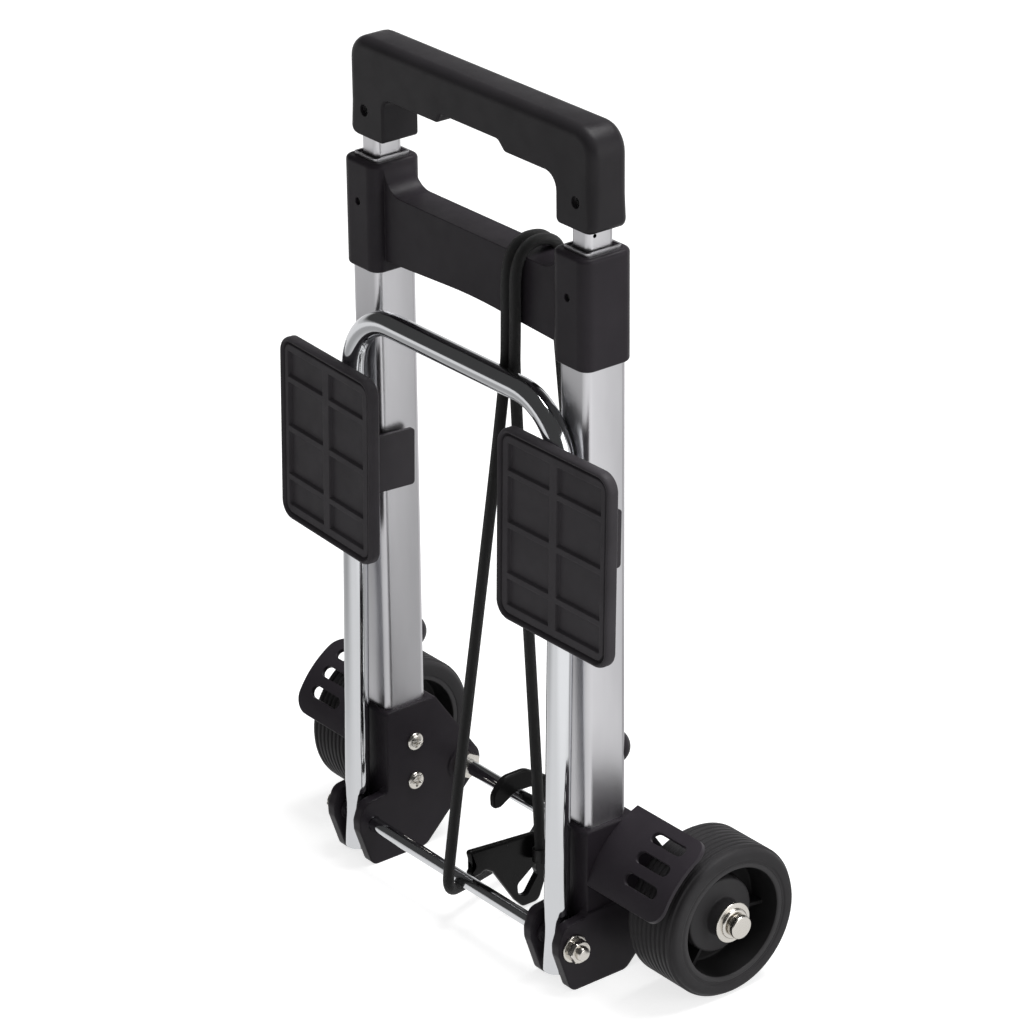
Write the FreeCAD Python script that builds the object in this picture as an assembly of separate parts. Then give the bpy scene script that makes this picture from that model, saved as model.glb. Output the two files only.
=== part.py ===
"""Folding two-wheel hand truck, folded. Millimetres, +Z up, +Y to the wheels, -Y to the foot pads.

The origin is on the ground, midway between the sides and midway between front and back.
Each function makes one sub-part, or one pair of mirrored sub-parts, in its place.
"""

import FreeCAD, Part
import math
import os

V = FreeCAD.Vector
X_AXIS = V(1, 0, 0)
Y_AXIS = V(0, 1, 0)
Z_AXIS = V(0, 0, 1)

# ---- driving dimensions -------------------------------------------------------------------

# telescopic tubes: widths along X, depths along Y
tube_x = 70.4            # centre plane to the centre line of each upright
upright_w = 18.4
upright_d = 21.7
upright_wall = 1.2
upright_front_r = 3.0    # outer corner radius at the front
upright_back_r = 3.0     # outer corner radius at the back
upright_foot_z = 30.0
upright_top_z = 332.0
mid_foot_rise = 10.0     # middle tube's foot above the upright's foot
inner_foot_rise = 22.0   # inner tube's foot above the middle tube's foot
inner_overlap = 22.7     # inner tube still inside the middle tube when fully out
slide_gap = 0.25         # running clearance all round each telescopic tube
mid_wall = 0.9
mid_rise = 2.9           # middle tube's rim above the upright's rim
inner_w = 11.4
inner_d = 13.9
inner_wall = 0.8
inner_corner_r = 2.5
neck_length = 10.0       # how far a guide or lock block enters its tube
guide_height = 6.0
lock_block_height = 10.0
bush_depth = 13.0
bush_rise = 3.0          # bush flange above the middle tube's rim
bush_gap = 0.15
fit_gap = 0.05           # clearance of parts pressed or screwed together
rivet_hole_d = 1.8
rivet_hole_rise = 6.0    # centre of the small side hole above the middle tube's rim

# grip
grip_rise = 55.0         # grip's top above the uprights' rims, tubes pushed in
grip_bar_height = 23.4
grip_height = 44.2       # top to the legs' feet
grip_leg_in = 12.8       # leg's inner side, from the tube's centre line
grip_leg_out = 11.1      # leg's outer side, from the tube's centre line
grip_front = 8.9         # front face, from the tubes' centre plane
grip_back = 10.1         # back face, from the tubes' centre plane
grip_outer_r = 9.5
grip_inner_r = 5.0
grip_edge_r = 3.0        # round the outside
grip_opening_edge_r = 1.0
scoop_half = 21.5        # finger scoop in the underside
scoop_depth = 3.7
trigger_half = 19.6
trigger_depth = 10.0
trigger_travel = 4.0
trigger_gap = 0.3
tube_in_grip = 23.0      # inner tube's length inside the grip's leg
cavity_wall = 3.0
crosspiece_height = 4.0
crosspiece_depth = 6.0
spring_x = 36.0
spring_w = 6.0
spring_depth = 4.0
spring_leaf = 0.5
spring_folds = 7
pull_rod_d = 2.0
grip_screw_rise = 12.0   # above the legs' feet
screw_head_d = 6.0
screw_head_h = 1.3
screw_shank_d = 3.0

# lock pins
pin_d = 4.0
pin_length = 4.6
pin_travel = 2.4
pin_tip_gap = 0.1

# bridge bracket
collar_in = 11.6         # collar's inner side, from the tube's centre line
collar_out = 11.4
collar_front = 13.4      # from the tubes' centre plane
collar_back = 13.0
collar_lip = 1.6         # collar's top above the uprights' rims
collar_height = 49.3
collar_corner_r = 5.5
collar_top_r = 2.0
collar_foot_r = 1.5
web_front = 7.9
web_back = 8.1
web_drop = 11.2          # web's top below the uprights' rims
web_height = 28.1
web_arch = 3.0           # how much lower the web's ends are than its middle
web_arch_r = 300.0
web_fillet_r = 11.2
bridge_screw_drop = 17.0 # wheels
wheel_r = 35.0
wheel_w = 30.6
wheel_out_x = 128.6      # wheel's outer face
axle_back = 29.3         # axle behind the tubes' centre plane
axle_d = 6.6
tyre_wall = 7.6
tyre_shoulder_r = 1.6
tread_grooves = 7
groove_depth = 0.8
groove_width = 1.1
rim_wall = 2.4
web_plate = 3.0
spoke_count = 5
spoke_width = 9.0
hub_boss_d = 17.0
hub_inset = 1.9          # boss ends inside the wheel's outer face
bush_wall = 1.4
turn_gap = 0.05          # radial clearance of a turning shaft
side_gap = 0.35          # end clearance of a turning part
washer_d = 18.6
washer_t = 1.2
flange_d = 13.6
flange_t = 1.4
cap_d = 10.7
cap_length = 4.2
axle_nut_width = 11.0
axle_nut_length = 4.2    # foot brackets
bracket_in = 11.6        # inner side, from the tube's centre line
bracket_out = 12.6
socket_wall = 2.6
socket_top_z = 73.6
ear_t = 5.0
ear_nose_r = 8.0
pivot_forward = 21.6     # pivot rod in front of the tubes' centre plane
pivot_z = 21.1
pivot_d = 6.4
axle_boss_r = 9.5
axle_spacer_r = 9.5
turn_clear = 0.8         # round the swing of the toe frame's lower ends
floor_t = 1.6            # floor under each upright
inner_boss_r = 8.6
inner_boss_length = 0.6
bracket_screw_zs = (35.0, 55.0)
bracket_screw_d = 8.6
bracket_screw_h = 1.8
bracket_screw_back = 2.2

# round bumpers on the back of the uprights
bumper_r = 8.0
bumper_height = 6.5
bumper_z = 103.5
bumper_out = 0.8         # centre outboard of the tube's centre line

# mudguards
guard_clear = 8.2        # from the tyre to the guard's inner face
guard_t = 2.0
guard_out_x = 129.4
guard_low_deg = 18.0     # above the front horizontal, about the axle
guard_high_deg = 71.0
guard_corner_r = 8.0
slot_degs = (33.0, 46.5, 60.0)
slot_in_x = 101.5
slot_out_x = 122.0
slot_height = 5.6

# pivot hardware
rod_washer_d = 12.6
rod_washer_t = 1.2
rod_nut_width = 10.0
rod_nut_length = 4.4
rod_dome_r = 4.4
spacer_d = 9.6

# toe frame
toe_tube_d = 11.06
toe_tube_wall = 1.2
toe_leg_x = 71.2
toe_drop = 65.0          # crossbar's centre line below the uprights' rims, before the lean
toe_bend_r = 28.0
toe_end_drop = 15.5      # leg below the pivot
toe_lean_deg = 1.2

# foot pads, in the toe frame's own upright frame
pad_w = 72.3
pad_h = 87.0
pad_t = 6.0
pad_corner_r = 8.0
pad_centre_out = 6.9     # pad's centre outboard of the leg
pad_left_drop = 67.1     # pad's centre below the crossbar's centre line
pad_right_drop = 56.4
pad_left_turn = 3.6      # degrees about the leg, outer edge back
pad_right_turn = 0.5
pad_corner_back = 1.18    # how far the lean brings the foremost corner of the left pad back
pocket_margin = 6.0
pocket_rib = 1.6
pocket_rows = (15.2, 22.3, 22.3, 15.2)
pocket_depth = 3.6
clip_gap = 0.35
clip_wall = 2.2
clip_height = 26.0
clip_reach = 3.2         # clip's side walls behind the leg's centre
clip_mouth = 9.6
fork_drop = 3.0          # fork's centre below the pad's centre
fork_height = 26.5
fork_reach = 22.3        # arm's length behind the leg's centre
fork_play = 1.7          # clearance to the upright on each side
fork_t = 1.8
fork_tip_r = 1.6

# stowed elastic cord: points of its route (x, y from the tubes' centre plane, z, arc radius)
cord_d = 5.0
cord_route = [
    (-16.4, 41.4, 25.5, 0),
    (-15.6, 42.5, 11.0, 8.0),
    (-1.5, -16.5, 12.4, 14.0),
    (4.6, -28.6, 16.6, 8.0),
    (4.6, -28.4, 29.0, 8.0),
    (22.8, -7.6, 262.0, 60.0),
    (28.0, -11.1, 289.0, 60.0),
    (29.5, -11.9, 325.9, 8.0),
    (29.5, 12.1, 325.9, 8.0),
    (29.7, 12.9, 302.0, 60.0),
    (29.0, 37.6, 40.0, 8.0),
    (30.0, 37.0, 26.4, 6.5),
    (31.5, 22.0, 26.4, 6.5),
    (32.5, 21.0, 42.0, 8.0),
    (35.2, 12.9, 300.0, 60.0),
    (35.2, 12.1, 325.9, 8.0),
    (35.2, -11.9, 325.9, 8.0),
    (33.6, -11.1, 289.0, 60.0),
    (28.3, -7.6, 262.0, 60.0),
    (17.4, 12.8, 44.0, 30.0),
    (19.0, 11.8, 24.0, 0),
]
hook_axle_x = -16.4
hook_t = 3.2
hook_rod_x = 13.2
crimp_d = 7.4
crimp_length = 6.0

# ---- places worked out from them ----------------------------------------------------------

front_reach = pivot_forward + toe_tube_d / 2 + clip_gap + pad_t - pad_corner_back
back_reach = axle_back + wheel_r
tube_y = (front_reach - back_reach) / 2
axle_y = tube_y + axle_back
axle_z = wheel_r
pivot_y = tube_y - pivot_forward

mid_w = upright_w - 2 * upright_wall - 2 * slide_gap
mid_d = upright_d - 2 * upright_wall - 2 * slide_gap
mid_front_r = upright_front_r - upright_wall - slide_gap
mid_back_r = upright_back_r - upright_wall - slide_gap
mid_top_z = upright_top_z + mid_rise
mid_foot_z = upright_foot_z + mid_foot_rise
inner_foot_z = mid_foot_z + inner_foot_rise
inner_stroke = mid_top_z - inner_foot_z - inner_overlap
grip_top_z = upright_top_z + grip_rise
grip_leg_foot_z = grip_top_z - grip_height
grip_screw_z = grip_leg_foot_z + grip_screw_rise
grip_bar_foot_z = grip_top_z - grip_bar_height
inner_top_z = grip_leg_foot_z + tube_in_grip
grip_front_y = tube_y - grip_front
grip_back_y = tube_y + grip_back
collar_top_z = upright_top_z + collar_lip
collar_foot_z = collar_top_z - collar_height
web_top_z = upright_top_z - web_drop
web_foot_z = web_top_z - web_height
bridge_screw_z = upright_top_z - bridge_screw_drop
wheel_in_x = wheel_out_x - wheel_w
bracket_in_x = tube_x - bracket_in
bracket_out_x = tube_x + bracket_out
rim_r = wheel_r - tyre_wall
boss_out_x = wheel_out_x - hub_inset
toe_reach = upright_top_z - toe_drop - pivot_z
pad_left_z = pivot_z + toe_reach - pad_left_drop
pad_right_z = pivot_z + toe_reach - pad_right_drop
lock_block_foot_z = inner_foot_z - lock_block_height
pin_z = lock_block_foot_z + lock_block_height / 2


# ---- helpers --------------------------------------------------------------------------------

def box(x0, x1, y0, y1, z0, z1):
    return Part.makeBox(x1 - x0, y1 - y0, z1 - z0, V(x0, y0, z0))


def rod(radius, start, end):
    """A solid cylinder from one point to another."""
    return Part.makeCylinder(radius, end.sub(start).Length, start, end.sub(start))


def ring(outer_r, inner_r, start, end):
    return rod(outer_r, start, end).cut(rod(inner_r, start, end))


def hexagon(width, start, end):
    """A hexagonal prism along X, width across its flats."""
    corner = width / math.sqrt(3)
    turns = [math.radians(60 * k + 30) for k in range(7)]
    wire = Part.makePolygon([V(start.x, start.y + corner * math.cos(a), start.z + corner * math.sin(a))
                             for a in turns])
    return Part.Face(wire).extrude(end.sub(start))


def rounded(points):
    """A closed face through corner points (point, radius), each corner replaced by a tangent arc."""
    edges = []
    ends = []
    count = len(points)
    for i in range(count):
        corner, radius = points[i]
        before = points[i - 1][0].sub(corner)
        after = points[(i + 1) % count][0].sub(corner)
        before.normalize()
        after.normalize()
        if radius <= 0:
            ends.append((corner, corner, None))
            continue
        half = before.getAngle(after) / 2
        step = radius / math.tan(half)
        middle = before.add(after)
        middle.normalize()
        centre = corner.add(middle.multiply(radius / math.sin(half)))
        towards = corner.sub(centre)
        towards.normalize()
        ends.append((corner.add(before.multiply(step)), corner.add(after.multiply(step)),
                     centre.add(towards.multiply(radius))))
    for i in range(count):
        first, last, top = ends[i]
        if top is not None:
            edges.append(Part.Arc(first, top, last).toShape())
        following = ends[(i + 1) % count][0]
        if last.distanceToPoint(following) > 1e-6:
            edges.append(Part.LineSegment(last, following).toShape())
    return Part.Face(Part.Wire(edges))


def section(width, depth, front_r, back_r, x, y, z):
    """A tube's outline: a rectangle with one radius on its front corners and one on its back."""
    return rounded([
        (V(x - width / 2, y - depth / 2, z), front_r),
        (V(x + width / 2, y - depth / 2, z), front_r),
        (V(x + width / 2, y + depth / 2, z), back_r),
        (V(x - width / 2, y + depth / 2, z), back_r),
    ])


def prism(width, depth, front_r, back_r, x, z0, z1):
    return section(width, depth, front_r, back_r, x, tube_y, z0).extrude(V(0, 0, z1 - z0))


def tube(width, depth, front_r, back_r, wall, x, z0, z1):
    outer = prism(width, depth, front_r, back_r, x, z0, z1)
    inner = prism(width - 2 * wall, depth - 2 * wall, front_r - wall, back_r - wall, x, z0, z1)
    return outer.cut(inner)


def side_plate(points, x0, x1):
    """A plate square to X between two planes; points are (y, z, radius)."""
    return rounded([(V(x0, y, z), r) for y, z, r in points]).extrude(V(x1 - x0, 0, 0))


def front_plate(points, y0, y1):
    """A plate square to Y between two planes; points are (x, z, radius)."""
    return rounded([(V(x, y0, z), r) for x, z, r in points]).extrude(V(0, y1 - y0, 0))


def soften(shape, radius, pick):
    """Rounds the edges that the test picks."""
    return shape.makeFillet(radius, [e for e in shape.Edges if pick(e)])


def mirrored(shape):
    return shape.mirror(V(0, 0, 0), X_AXIS)


def group(shapes):
    return Part.makeCompound(shapes)


def save(name, shape):
    shape.exportStep("parts/%s.step" % name)


def save_pair(name, right):
    save(name + "_right", right)
    save(name + "_left", mirrored(right))


# ---- telescopic tubes -----------------------------------------------------------------------

def make_uprights():
    right = tube(upright_w, upright_d, upright_front_r, upright_back_r, upright_wall,
                 tube_x, upright_foot_z, upright_top_z)
    shank = rod(screw_shank_d / 2 + fit_gap, V(tube_x, tube_y - upright_d, bridge_screw_z),
                V(tube_x, tube_y - upright_d / 2 + upright_wall, bridge_screw_z))
    save_pair("upright", right.cut(shank))


def make_mid_stage():
    """The middle tubes with their guide plugs below and bushes on top."""
    hole_z = pin_z + inner_stroke
    hole = rod(pin_d / 2 + slide_gap, V(tube_x, tube_y, hole_z), V(tube_x + upright_w, tube_y, hole_z))
    right = tube(mid_w, mid_d, mid_front_r, mid_back_r, mid_wall, tube_x, mid_foot_z, mid_top_z)
    save_pair("mid_tube", right.cut(hole))

    bore_w = mid_w - 2 * mid_wall - 2 * fit_gap
    bore_d = mid_d - 2 * mid_wall - 2 * fit_gap
    bore_front = mid_front_r - mid_wall
    bore_back = mid_back_r - mid_wall
    neck = prism(bore_w, bore_d, bore_front, bore_back, tube_x, mid_foot_z, mid_foot_z + neck_length)
    foot = prism(mid_w, mid_d, mid_front_r, mid_back_r, tube_x, mid_foot_z - guide_height, mid_foot_z)
    save_pair("mid_guide", neck.fuse(foot).removeSplitter())

    sleeve = prism(bore_w, bore_d, bore_front, bore_back, tube_x, mid_top_z - bush_depth, mid_top_z)
    flange = prism(mid_w, mid_d, mid_front_r, mid_back_r, tube_x, mid_top_z, mid_top_z + bush_rise)
    top = mid_top_z + bush_rise
    flange = flange.makeChamfer(bush_rise * 0.45, [e for e in flange.Edges if on_level(e, top)])
    bore = prism(inner_w + 2 * bush_gap, inner_d + 2 * bush_gap, inner_corner_r + bush_gap,
                 inner_corner_r + bush_gap, tube_x, mid_foot_z, grip_top_z)
    save_pair("mid_bush", sleeve.fuse(flange).removeSplitter().cut(bore))


def on_level(edge, z):
    return all(abs(v.Z - z) < 1e-4 for v in edge.Vertexes)


def make_inner_tubes():
    """The inner tubes, with the screw hole in front and the small hole in the outer side."""
    right = tube(inner_w, inner_d, inner_corner_r, inner_corner_r, inner_wall, tube_x,
                 inner_foot_z, inner_top_z)
    screw = rod(screw_shank_d / 2 + fit_gap, V(tube_x, tube_y - inner_d, grip_screw_z),
                V(tube_x, tube_y - inner_d / 2 + inner_wall * 1.5, grip_screw_z))
    side_z = mid_top_z + rivet_hole_rise
    side_y = tube_y - inner_d / 2 + inner_corner_r + rivet_hole_d / 2
    side = rod(rivet_hole_d / 2, V(tube_x + inner_w / 4, side_y, side_z),
               V(tube_x + inner_w, side_y, side_z))
    save_pair("inner_tube", right.cut(screw).cut(side))


def make_lock_blocks():
    """The block in the foot of each inner tube, with a bore for the pull rod and one for the pin."""
    neck = prism(inner_w - 2 * inner_wall - 2 * fit_gap, inner_d - 2 * inner_wall - 2 * fit_gap,
                 inner_corner_r - inner_wall, inner_corner_r - inner_wall, tube_x,
                 inner_foot_z, inner_foot_z + neck_length)
    body = prism(mid_w - 2 * mid_wall - 2 * slide_gap, mid_d - 2 * mid_wall - 2 * slide_gap,
                 mid_front_r - mid_wall, mid_back_r - mid_wall - slide_gap, tube_x,
                 lock_block_foot_z, inner_foot_z)
    rod_bore = rod(pull_rod_d / 2 + slide_gap, V(tube_x, tube_y, pin_z),
                   V(tube_x, tube_y, inner_foot_z + neck_length))
    tip_x = tube_x + mid_w / 2 - mid_wall - pin_tip_gap
    pin_bore = rod(pin_d / 2 + turn_gap, V(tip_x - pin_length - pin_travel - slide_gap, tube_y, pin_z),
                   V(tip_x + pin_d, tube_y, pin_z))
    save_pair("lock_block", neck.fuse(body).removeSplitter().cut(rod_bore).cut(pin_bore))
    pin = rod(pin_d / 2, V(tip_x - pin_length, tube_y, pin_z), V(tip_x, tube_y, pin_z))
    save_pair("lock_pin", pin)


# ---- grip -----------------------------------------------------------------------------------

def grip_outline():
    """The U outline of the grip, square to Y, with its finger scoop left out."""
    leg_in = tube_x - grip_leg_in
    leg_out = tube_x + grip_leg_out
    return [
        (-leg_out, grip_leg_foot_z, 0), (-leg_out, grip_top_z, grip_outer_r),
        (leg_out, grip_top_z, grip_outer_r), (leg_out, grip_leg_foot_z, 0),
        (leg_in, grip_leg_foot_z, 0), (leg_in, grip_bar_foot_z, grip_inner_r),
        (-leg_in, grip_bar_foot_z, grip_inner_r), (-leg_in, grip_leg_foot_z, 0),
    ]


def make_grip():
    """Two shells that meet in the tubes' centre plane, hollow for the release and the tubes."""
    solid = front_plate(grip_outline(), grip_front_y, grip_back_y)
    faces = (grip_front_y, grip_back_y)

    def on_face(e):
        flat = any(all(abs(v.Y - y) < 1e-4 for v in e.Vertexes) for y in faces)
        return flat and e.BoundBox.ZMax > grip_leg_foot_z + grip_edge_r * 2

    def outside(e):
        reach = max(abs(e.BoundBox.XMin), abs(e.BoundBox.XMax))
        return reach > tube_x or e.BoundBox.ZMin > grip_bar_foot_z + grip_edge_r

    solid = soften(solid, grip_opening_edge_r, lambda e: on_face(e) and not outside(e)).Solids[0]
    solid = soften(solid, grip_edge_r, lambda e: on_face(e) and outside(e))
    cavity_foot = grip_bar_foot_z + scoop_depth + cavity_wall / 2
    hollow_front = tube_y - trigger_depth / 2 - trigger_gap
    hollow_back = tube_y + trigger_depth / 2 + trigger_gap
    hollow = box(-tube_x - inner_w / 2, tube_x + inner_w / 2, hollow_front, hollow_back, cavity_foot,
                 grip_top_z - cavity_wall)
    scoop = front_plate([
        (-scoop_half, grip_bar_foot_z - cavity_wall, 0), (-scoop_half, grip_bar_foot_z + scoop_depth, 1.6),
        (scoop_half, grip_bar_foot_z + scoop_depth, 1.6), (scoop_half, grip_bar_foot_z - cavity_wall, 0),
    ], grip_front_y - 1, grip_back_y + 1)
    window = box(-trigger_half - trigger_gap, trigger_half + trigger_gap, hollow_front, hollow_back,
                 grip_bar_foot_z - cavity_wall, cavity_foot + cavity_wall)
    solid = solid.cut(hollow).cut(scoop).cut(window)
    heads = []
    for side in (-1, 1):
        x = side * tube_x
        bore = prism(inner_w + 2 * fit_gap, inner_d + 2 * fit_gap, inner_corner_r + fit_gap,
                     inner_corner_r + fit_gap, x, grip_leg_foot_z - 1, inner_top_z + fit_gap)
        head_bore = rod(screw_head_d / 2 + slide_gap, V(x, grip_front_y - 1, grip_screw_z),
                        V(x, grip_front_y + screw_head_h + fit_gap, grip_screw_z))
        shank_bore = rod(screw_shank_d / 2 + fit_gap, V(x, grip_front_y, grip_screw_z),
                         V(x, tube_y, grip_screw_z))
        rod_bore = rod(pull_rod_d / 2 + slide_gap, V(x, tube_y, inner_top_z),
                       V(x, tube_y, cavity_foot + 1))
        solid = solid.cut(bore).cut(head_bore).cut(shank_bore).cut(rod_bore)
        head = rod(screw_head_d / 2, V(x, grip_front_y + fit_gap, grip_screw_z),
                   V(x, grip_front_y + screw_head_h, grip_screw_z))
        shank_end = tube_y - inner_d / 2 + inner_wall * 1.5
        shank = rod(screw_shank_d / 2, V(x, grip_front_y + screw_head_h, grip_screw_z),
                    V(x, shank_end, grip_screw_z))
        heads.append(head.fuse(shank).removeSplitter())
    big = 2 * tube_x
    save("handle_front", solid.common(box(-big, big, -big, tube_y, 0, 2 * grip_top_z)))
    save("handle_back", solid.common(box(-big, big, tube_y, big, 0, 2 * grip_top_z)))
    save("handle_screws", group(heads))


def leaf_spring(x, z0, z1):
    """A strip folded to and fro between two heights, with its end leaves level."""
    ends = (x - spring_w / 2, x + spring_w / 2)
    rise = (z1 - z0 - spring_leaf) / (spring_folds - 2)
    levels = [z0] + [z0 + k * rise for k in range(spring_folds - 1)] + [z1 - spring_leaf]
    leaves = []
    for k in range(spring_folds):
        a, b = ends[k % 2], ends[1 - k % 2]
        low, high = levels[k], levels[k + 1]
        leaves.append(front_plate([(a, low, 0), (b, high, 0), (b, high + spring_leaf, 0),
                                   (a, low + spring_leaf, 0)],
                                  tube_y - spring_depth / 2, tube_y + spring_depth / 2))
    return leaves[0].multiFuse(leaves[1:]).removeSplitter()


def make_release():
    """The squeeze bar with its crosspiece, the two pull rods and the return springs over it."""
    foot = grip_bar_foot_z + scoop_depth - trigger_travel + slide_gap
    cross_foot = inner_top_z + 2 * slide_gap + scoop_depth
    paddle = front_plate([
        (-trigger_half, foot, 2.0), (-trigger_half, cross_foot, 0),
        (trigger_half, cross_foot, 0), (trigger_half, foot, 2.0),
    ], tube_y - trigger_depth / 2, tube_y + trigger_depth / 2)
    cross_top = cross_foot + crosspiece_height
    end = tube_x + pull_rod_d
    cross = box(-end, end, tube_y - crosspiece_depth / 2, tube_y + crosspiece_depth / 2,
                cross_foot, cross_top)
    save("release_trigger", paddle.fuse(cross).removeSplitter())
    rod_foot = pin_z + pin_d / 2 + slide_gap
    rods = [rod(pull_rod_d / 2, V(s * tube_x, tube_y, rod_foot), V(s * tube_x, tube_y, cross_foot))
            for s in (-1, 1)]
    save("pull_rods", group(rods))
    spring_top = grip_top_z - cavity_wall - fit_gap
    save("trigger_springs", group([leaf_spring(s * spring_x, cross_top + fit_gap, spring_top)
                                   for s in (-1, 1)]))


# ---- bridge bracket -------------------------------------------------------------------------

def make_bridge():
    """One moulding: two collars round the uprights and the arched web between them."""
    collars = []
    for side in (-1, 1):
        x0, x1 = sorted((side * (tube_x - collar_in), side * (tube_x + collar_out)))
        y0, y1 = tube_y - collar_front, tube_y + collar_back
        outline = rounded([(V(x, y, collar_foot_z), collar_corner_r)
                           for x, y in ((x0, y0), (x1, y0), (x1, y1), (x0, y1))])
        collar = outline.extrude(V(0, 0, collar_top_z - collar_foot_z))
        collar = soften(collar, collar_top_r, lambda e: on_level(e, collar_top_z))
        collars.append(soften(collar, collar_foot_r, lambda e: on_level(e, collar_foot_z)))
    side = tube_x - collar_in
    reach = side + collar_foot_r
    web = front_plate([
        (-reach, web_foot_z - web_arch, 0), (0, web_foot_z, web_arch_r), (reach, web_foot_z - web_arch, 0),
        (reach, web_top_z + web_fillet_r, 0), (side, web_top_z + web_fillet_r, 0),
        (side, web_top_z, web_fillet_r), (-side, web_top_z, web_fillet_r),
        (-side, web_top_z + web_fillet_r, 0), (-reach, web_top_z + web_fillet_r, 0),
    ], tube_y - web_front, tube_y + web_back)
    body = collars[0].fuse(collars[1]).fuse(web).removeSplitter()
    screws = []
    for side in (-1, 1):
        x = side * tube_x
        body = body.cut(prism(upright_w + 2 * fit_gap, upright_d + 2 * fit_gap, upright_front_r + fit_gap,
                              upright_back_r + fit_gap, x, upright_foot_z, upright_top_z + fit_gap))
        body = body.cut(prism(mid_w + 2 * slide_gap, mid_d + 2 * slide_gap, mid_front_r + slide_gap,
                              mid_back_r + slide_gap, x, upright_top_z, 2 * upright_top_z))
        face_y = tube_y - collar_front
        deep_y = tube_y - upright_d / 2 + upright_wall
        body = body.cut(rod(screw_shank_d / 2 + slide_gap, V(x, face_y - 1, bridge_screw_z),
                            V(x, tube_y, bridge_screw_z)))
        screws.append(rod(screw_shank_d / 2, V(x, face_y + screw_head_h, bridge_screw_z),
                          V(x, deep_y, bridge_screw_z)))
    save("bridge_bracket", body)
    save("bridge_screws", group(screws))


# ---- foot brackets --------------------------------------------------------------------------

def bracket_outline():
    """Side outline (y, z, radius): ears in front, ground pad below, axle boss behind."""
    front = tube_y - upright_d / 2 - socket_wall
    back = tube_y + upright_d / 2 + socket_wall
    nose = pivot_y - ear_nose_r
    return [
        (front, socket_top_z, 1.5), (front, pivot_z + 12.6, 2.5), (nose + 3.0, pivot_z + 11.2, 5.0),
        (nose, pivot_z + 3.0, 6.0), (nose + 0.2, pivot_z - 2.0, 5.0), (nose + 6.6, 0, 4.5),
        (tube_y + 7.6, 0, 6.0), (axle_y + 1.295 * axle_boss_r, axle_z - 1.0, axle_boss_r),
        (back + 0.8, socket_top_z, 1.0),
    ]


def make_brackets():
    """Foot brackets with socket, clevis ears and axle bosses, and the screws on their inner faces."""
    body = side_plate(bracket_outline(), bracket_in_x, bracket_out_x)
    shoulder_z = pivot_z + ear_nose_r + 6.0
    keep = box(tube_x - upright_w / 2 - socket_wall, tube_x + upright_w / 2 + socket_wall,
               -wheel_r * 3, wheel_r * 3, shoulder_z, 2 * socket_top_z)
    low = box(bracket_in_x, bracket_out_x, -wheel_r * 3, wheel_r * 3, -1, shoulder_z)
    body = body.common(keep.fuse(low))
    slot = box(bracket_in_x + ear_t, bracket_out_x - ear_t, pivot_y - 2 * ear_nose_r,
               tube_y - upright_d / 2 - socket_wall, -1, socket_top_z + 1)
    swing = math.hypot(toe_end_drop, toe_tube_d / 2) + turn_clear
    notch = box(bracket_in_x + ear_t, bracket_out_x - ear_t, pivot_y - 2 * ear_nose_r, pivot_y + swing,
                -1, upright_foot_z - floor_t)
    body = body.cut(slot).cut(notch)
    spacer = rod(axle_spacer_r, V(bracket_out_x - 1, axle_y, axle_z),
                 V(wheel_in_x - side_gap - washer_t - fit_gap, axle_y, axle_z))
    inner_boss = rod(inner_boss_r, V(bracket_in_x - inner_boss_length, axle_y, axle_z),
                     V(bracket_in_x + 1, axle_y, axle_z))
    body = body.fuse(spacer).fuse(inner_boss)
    body = body.cut(prism(upright_w + 2 * fit_gap, upright_d + 2 * fit_gap, upright_front_r + fit_gap,
                          upright_back_r + fit_gap, tube_x, upright_foot_z, 2 * upright_top_z))
    far = 2 * wheel_out_x
    body = body.cut(rod(axle_d / 2 + fit_gap, V(0, axle_y, axle_z), V(far, axle_y, axle_z)))
    body = body.cut(rod(pivot_d / 2 + fit_gap, V(0, pivot_y, pivot_z), V(far, pivot_y, pivot_z)))
    save_pair("lower_bracket", body.removeSplitter())

    screws = []
    for z in bracket_screw_zs:
        face_x = bracket_in_x if z < shoulder_z else tube_x - upright_w / 2 - socket_wall
        y = tube_y + bracket_screw_back
        head = rod(bracket_screw_d / 2, V(face_x - bracket_screw_h, y, z), V(face_x - fit_gap, y, z))
        head = soften(head, bracket_screw_h * 0.6,
                      lambda e: all(abs(v.X - face_x + bracket_screw_h) < 1e-4 for v in e.Vertexes))
        screws += [head, mirrored(head)]
    save("bracket_screws", group(screws))


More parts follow.
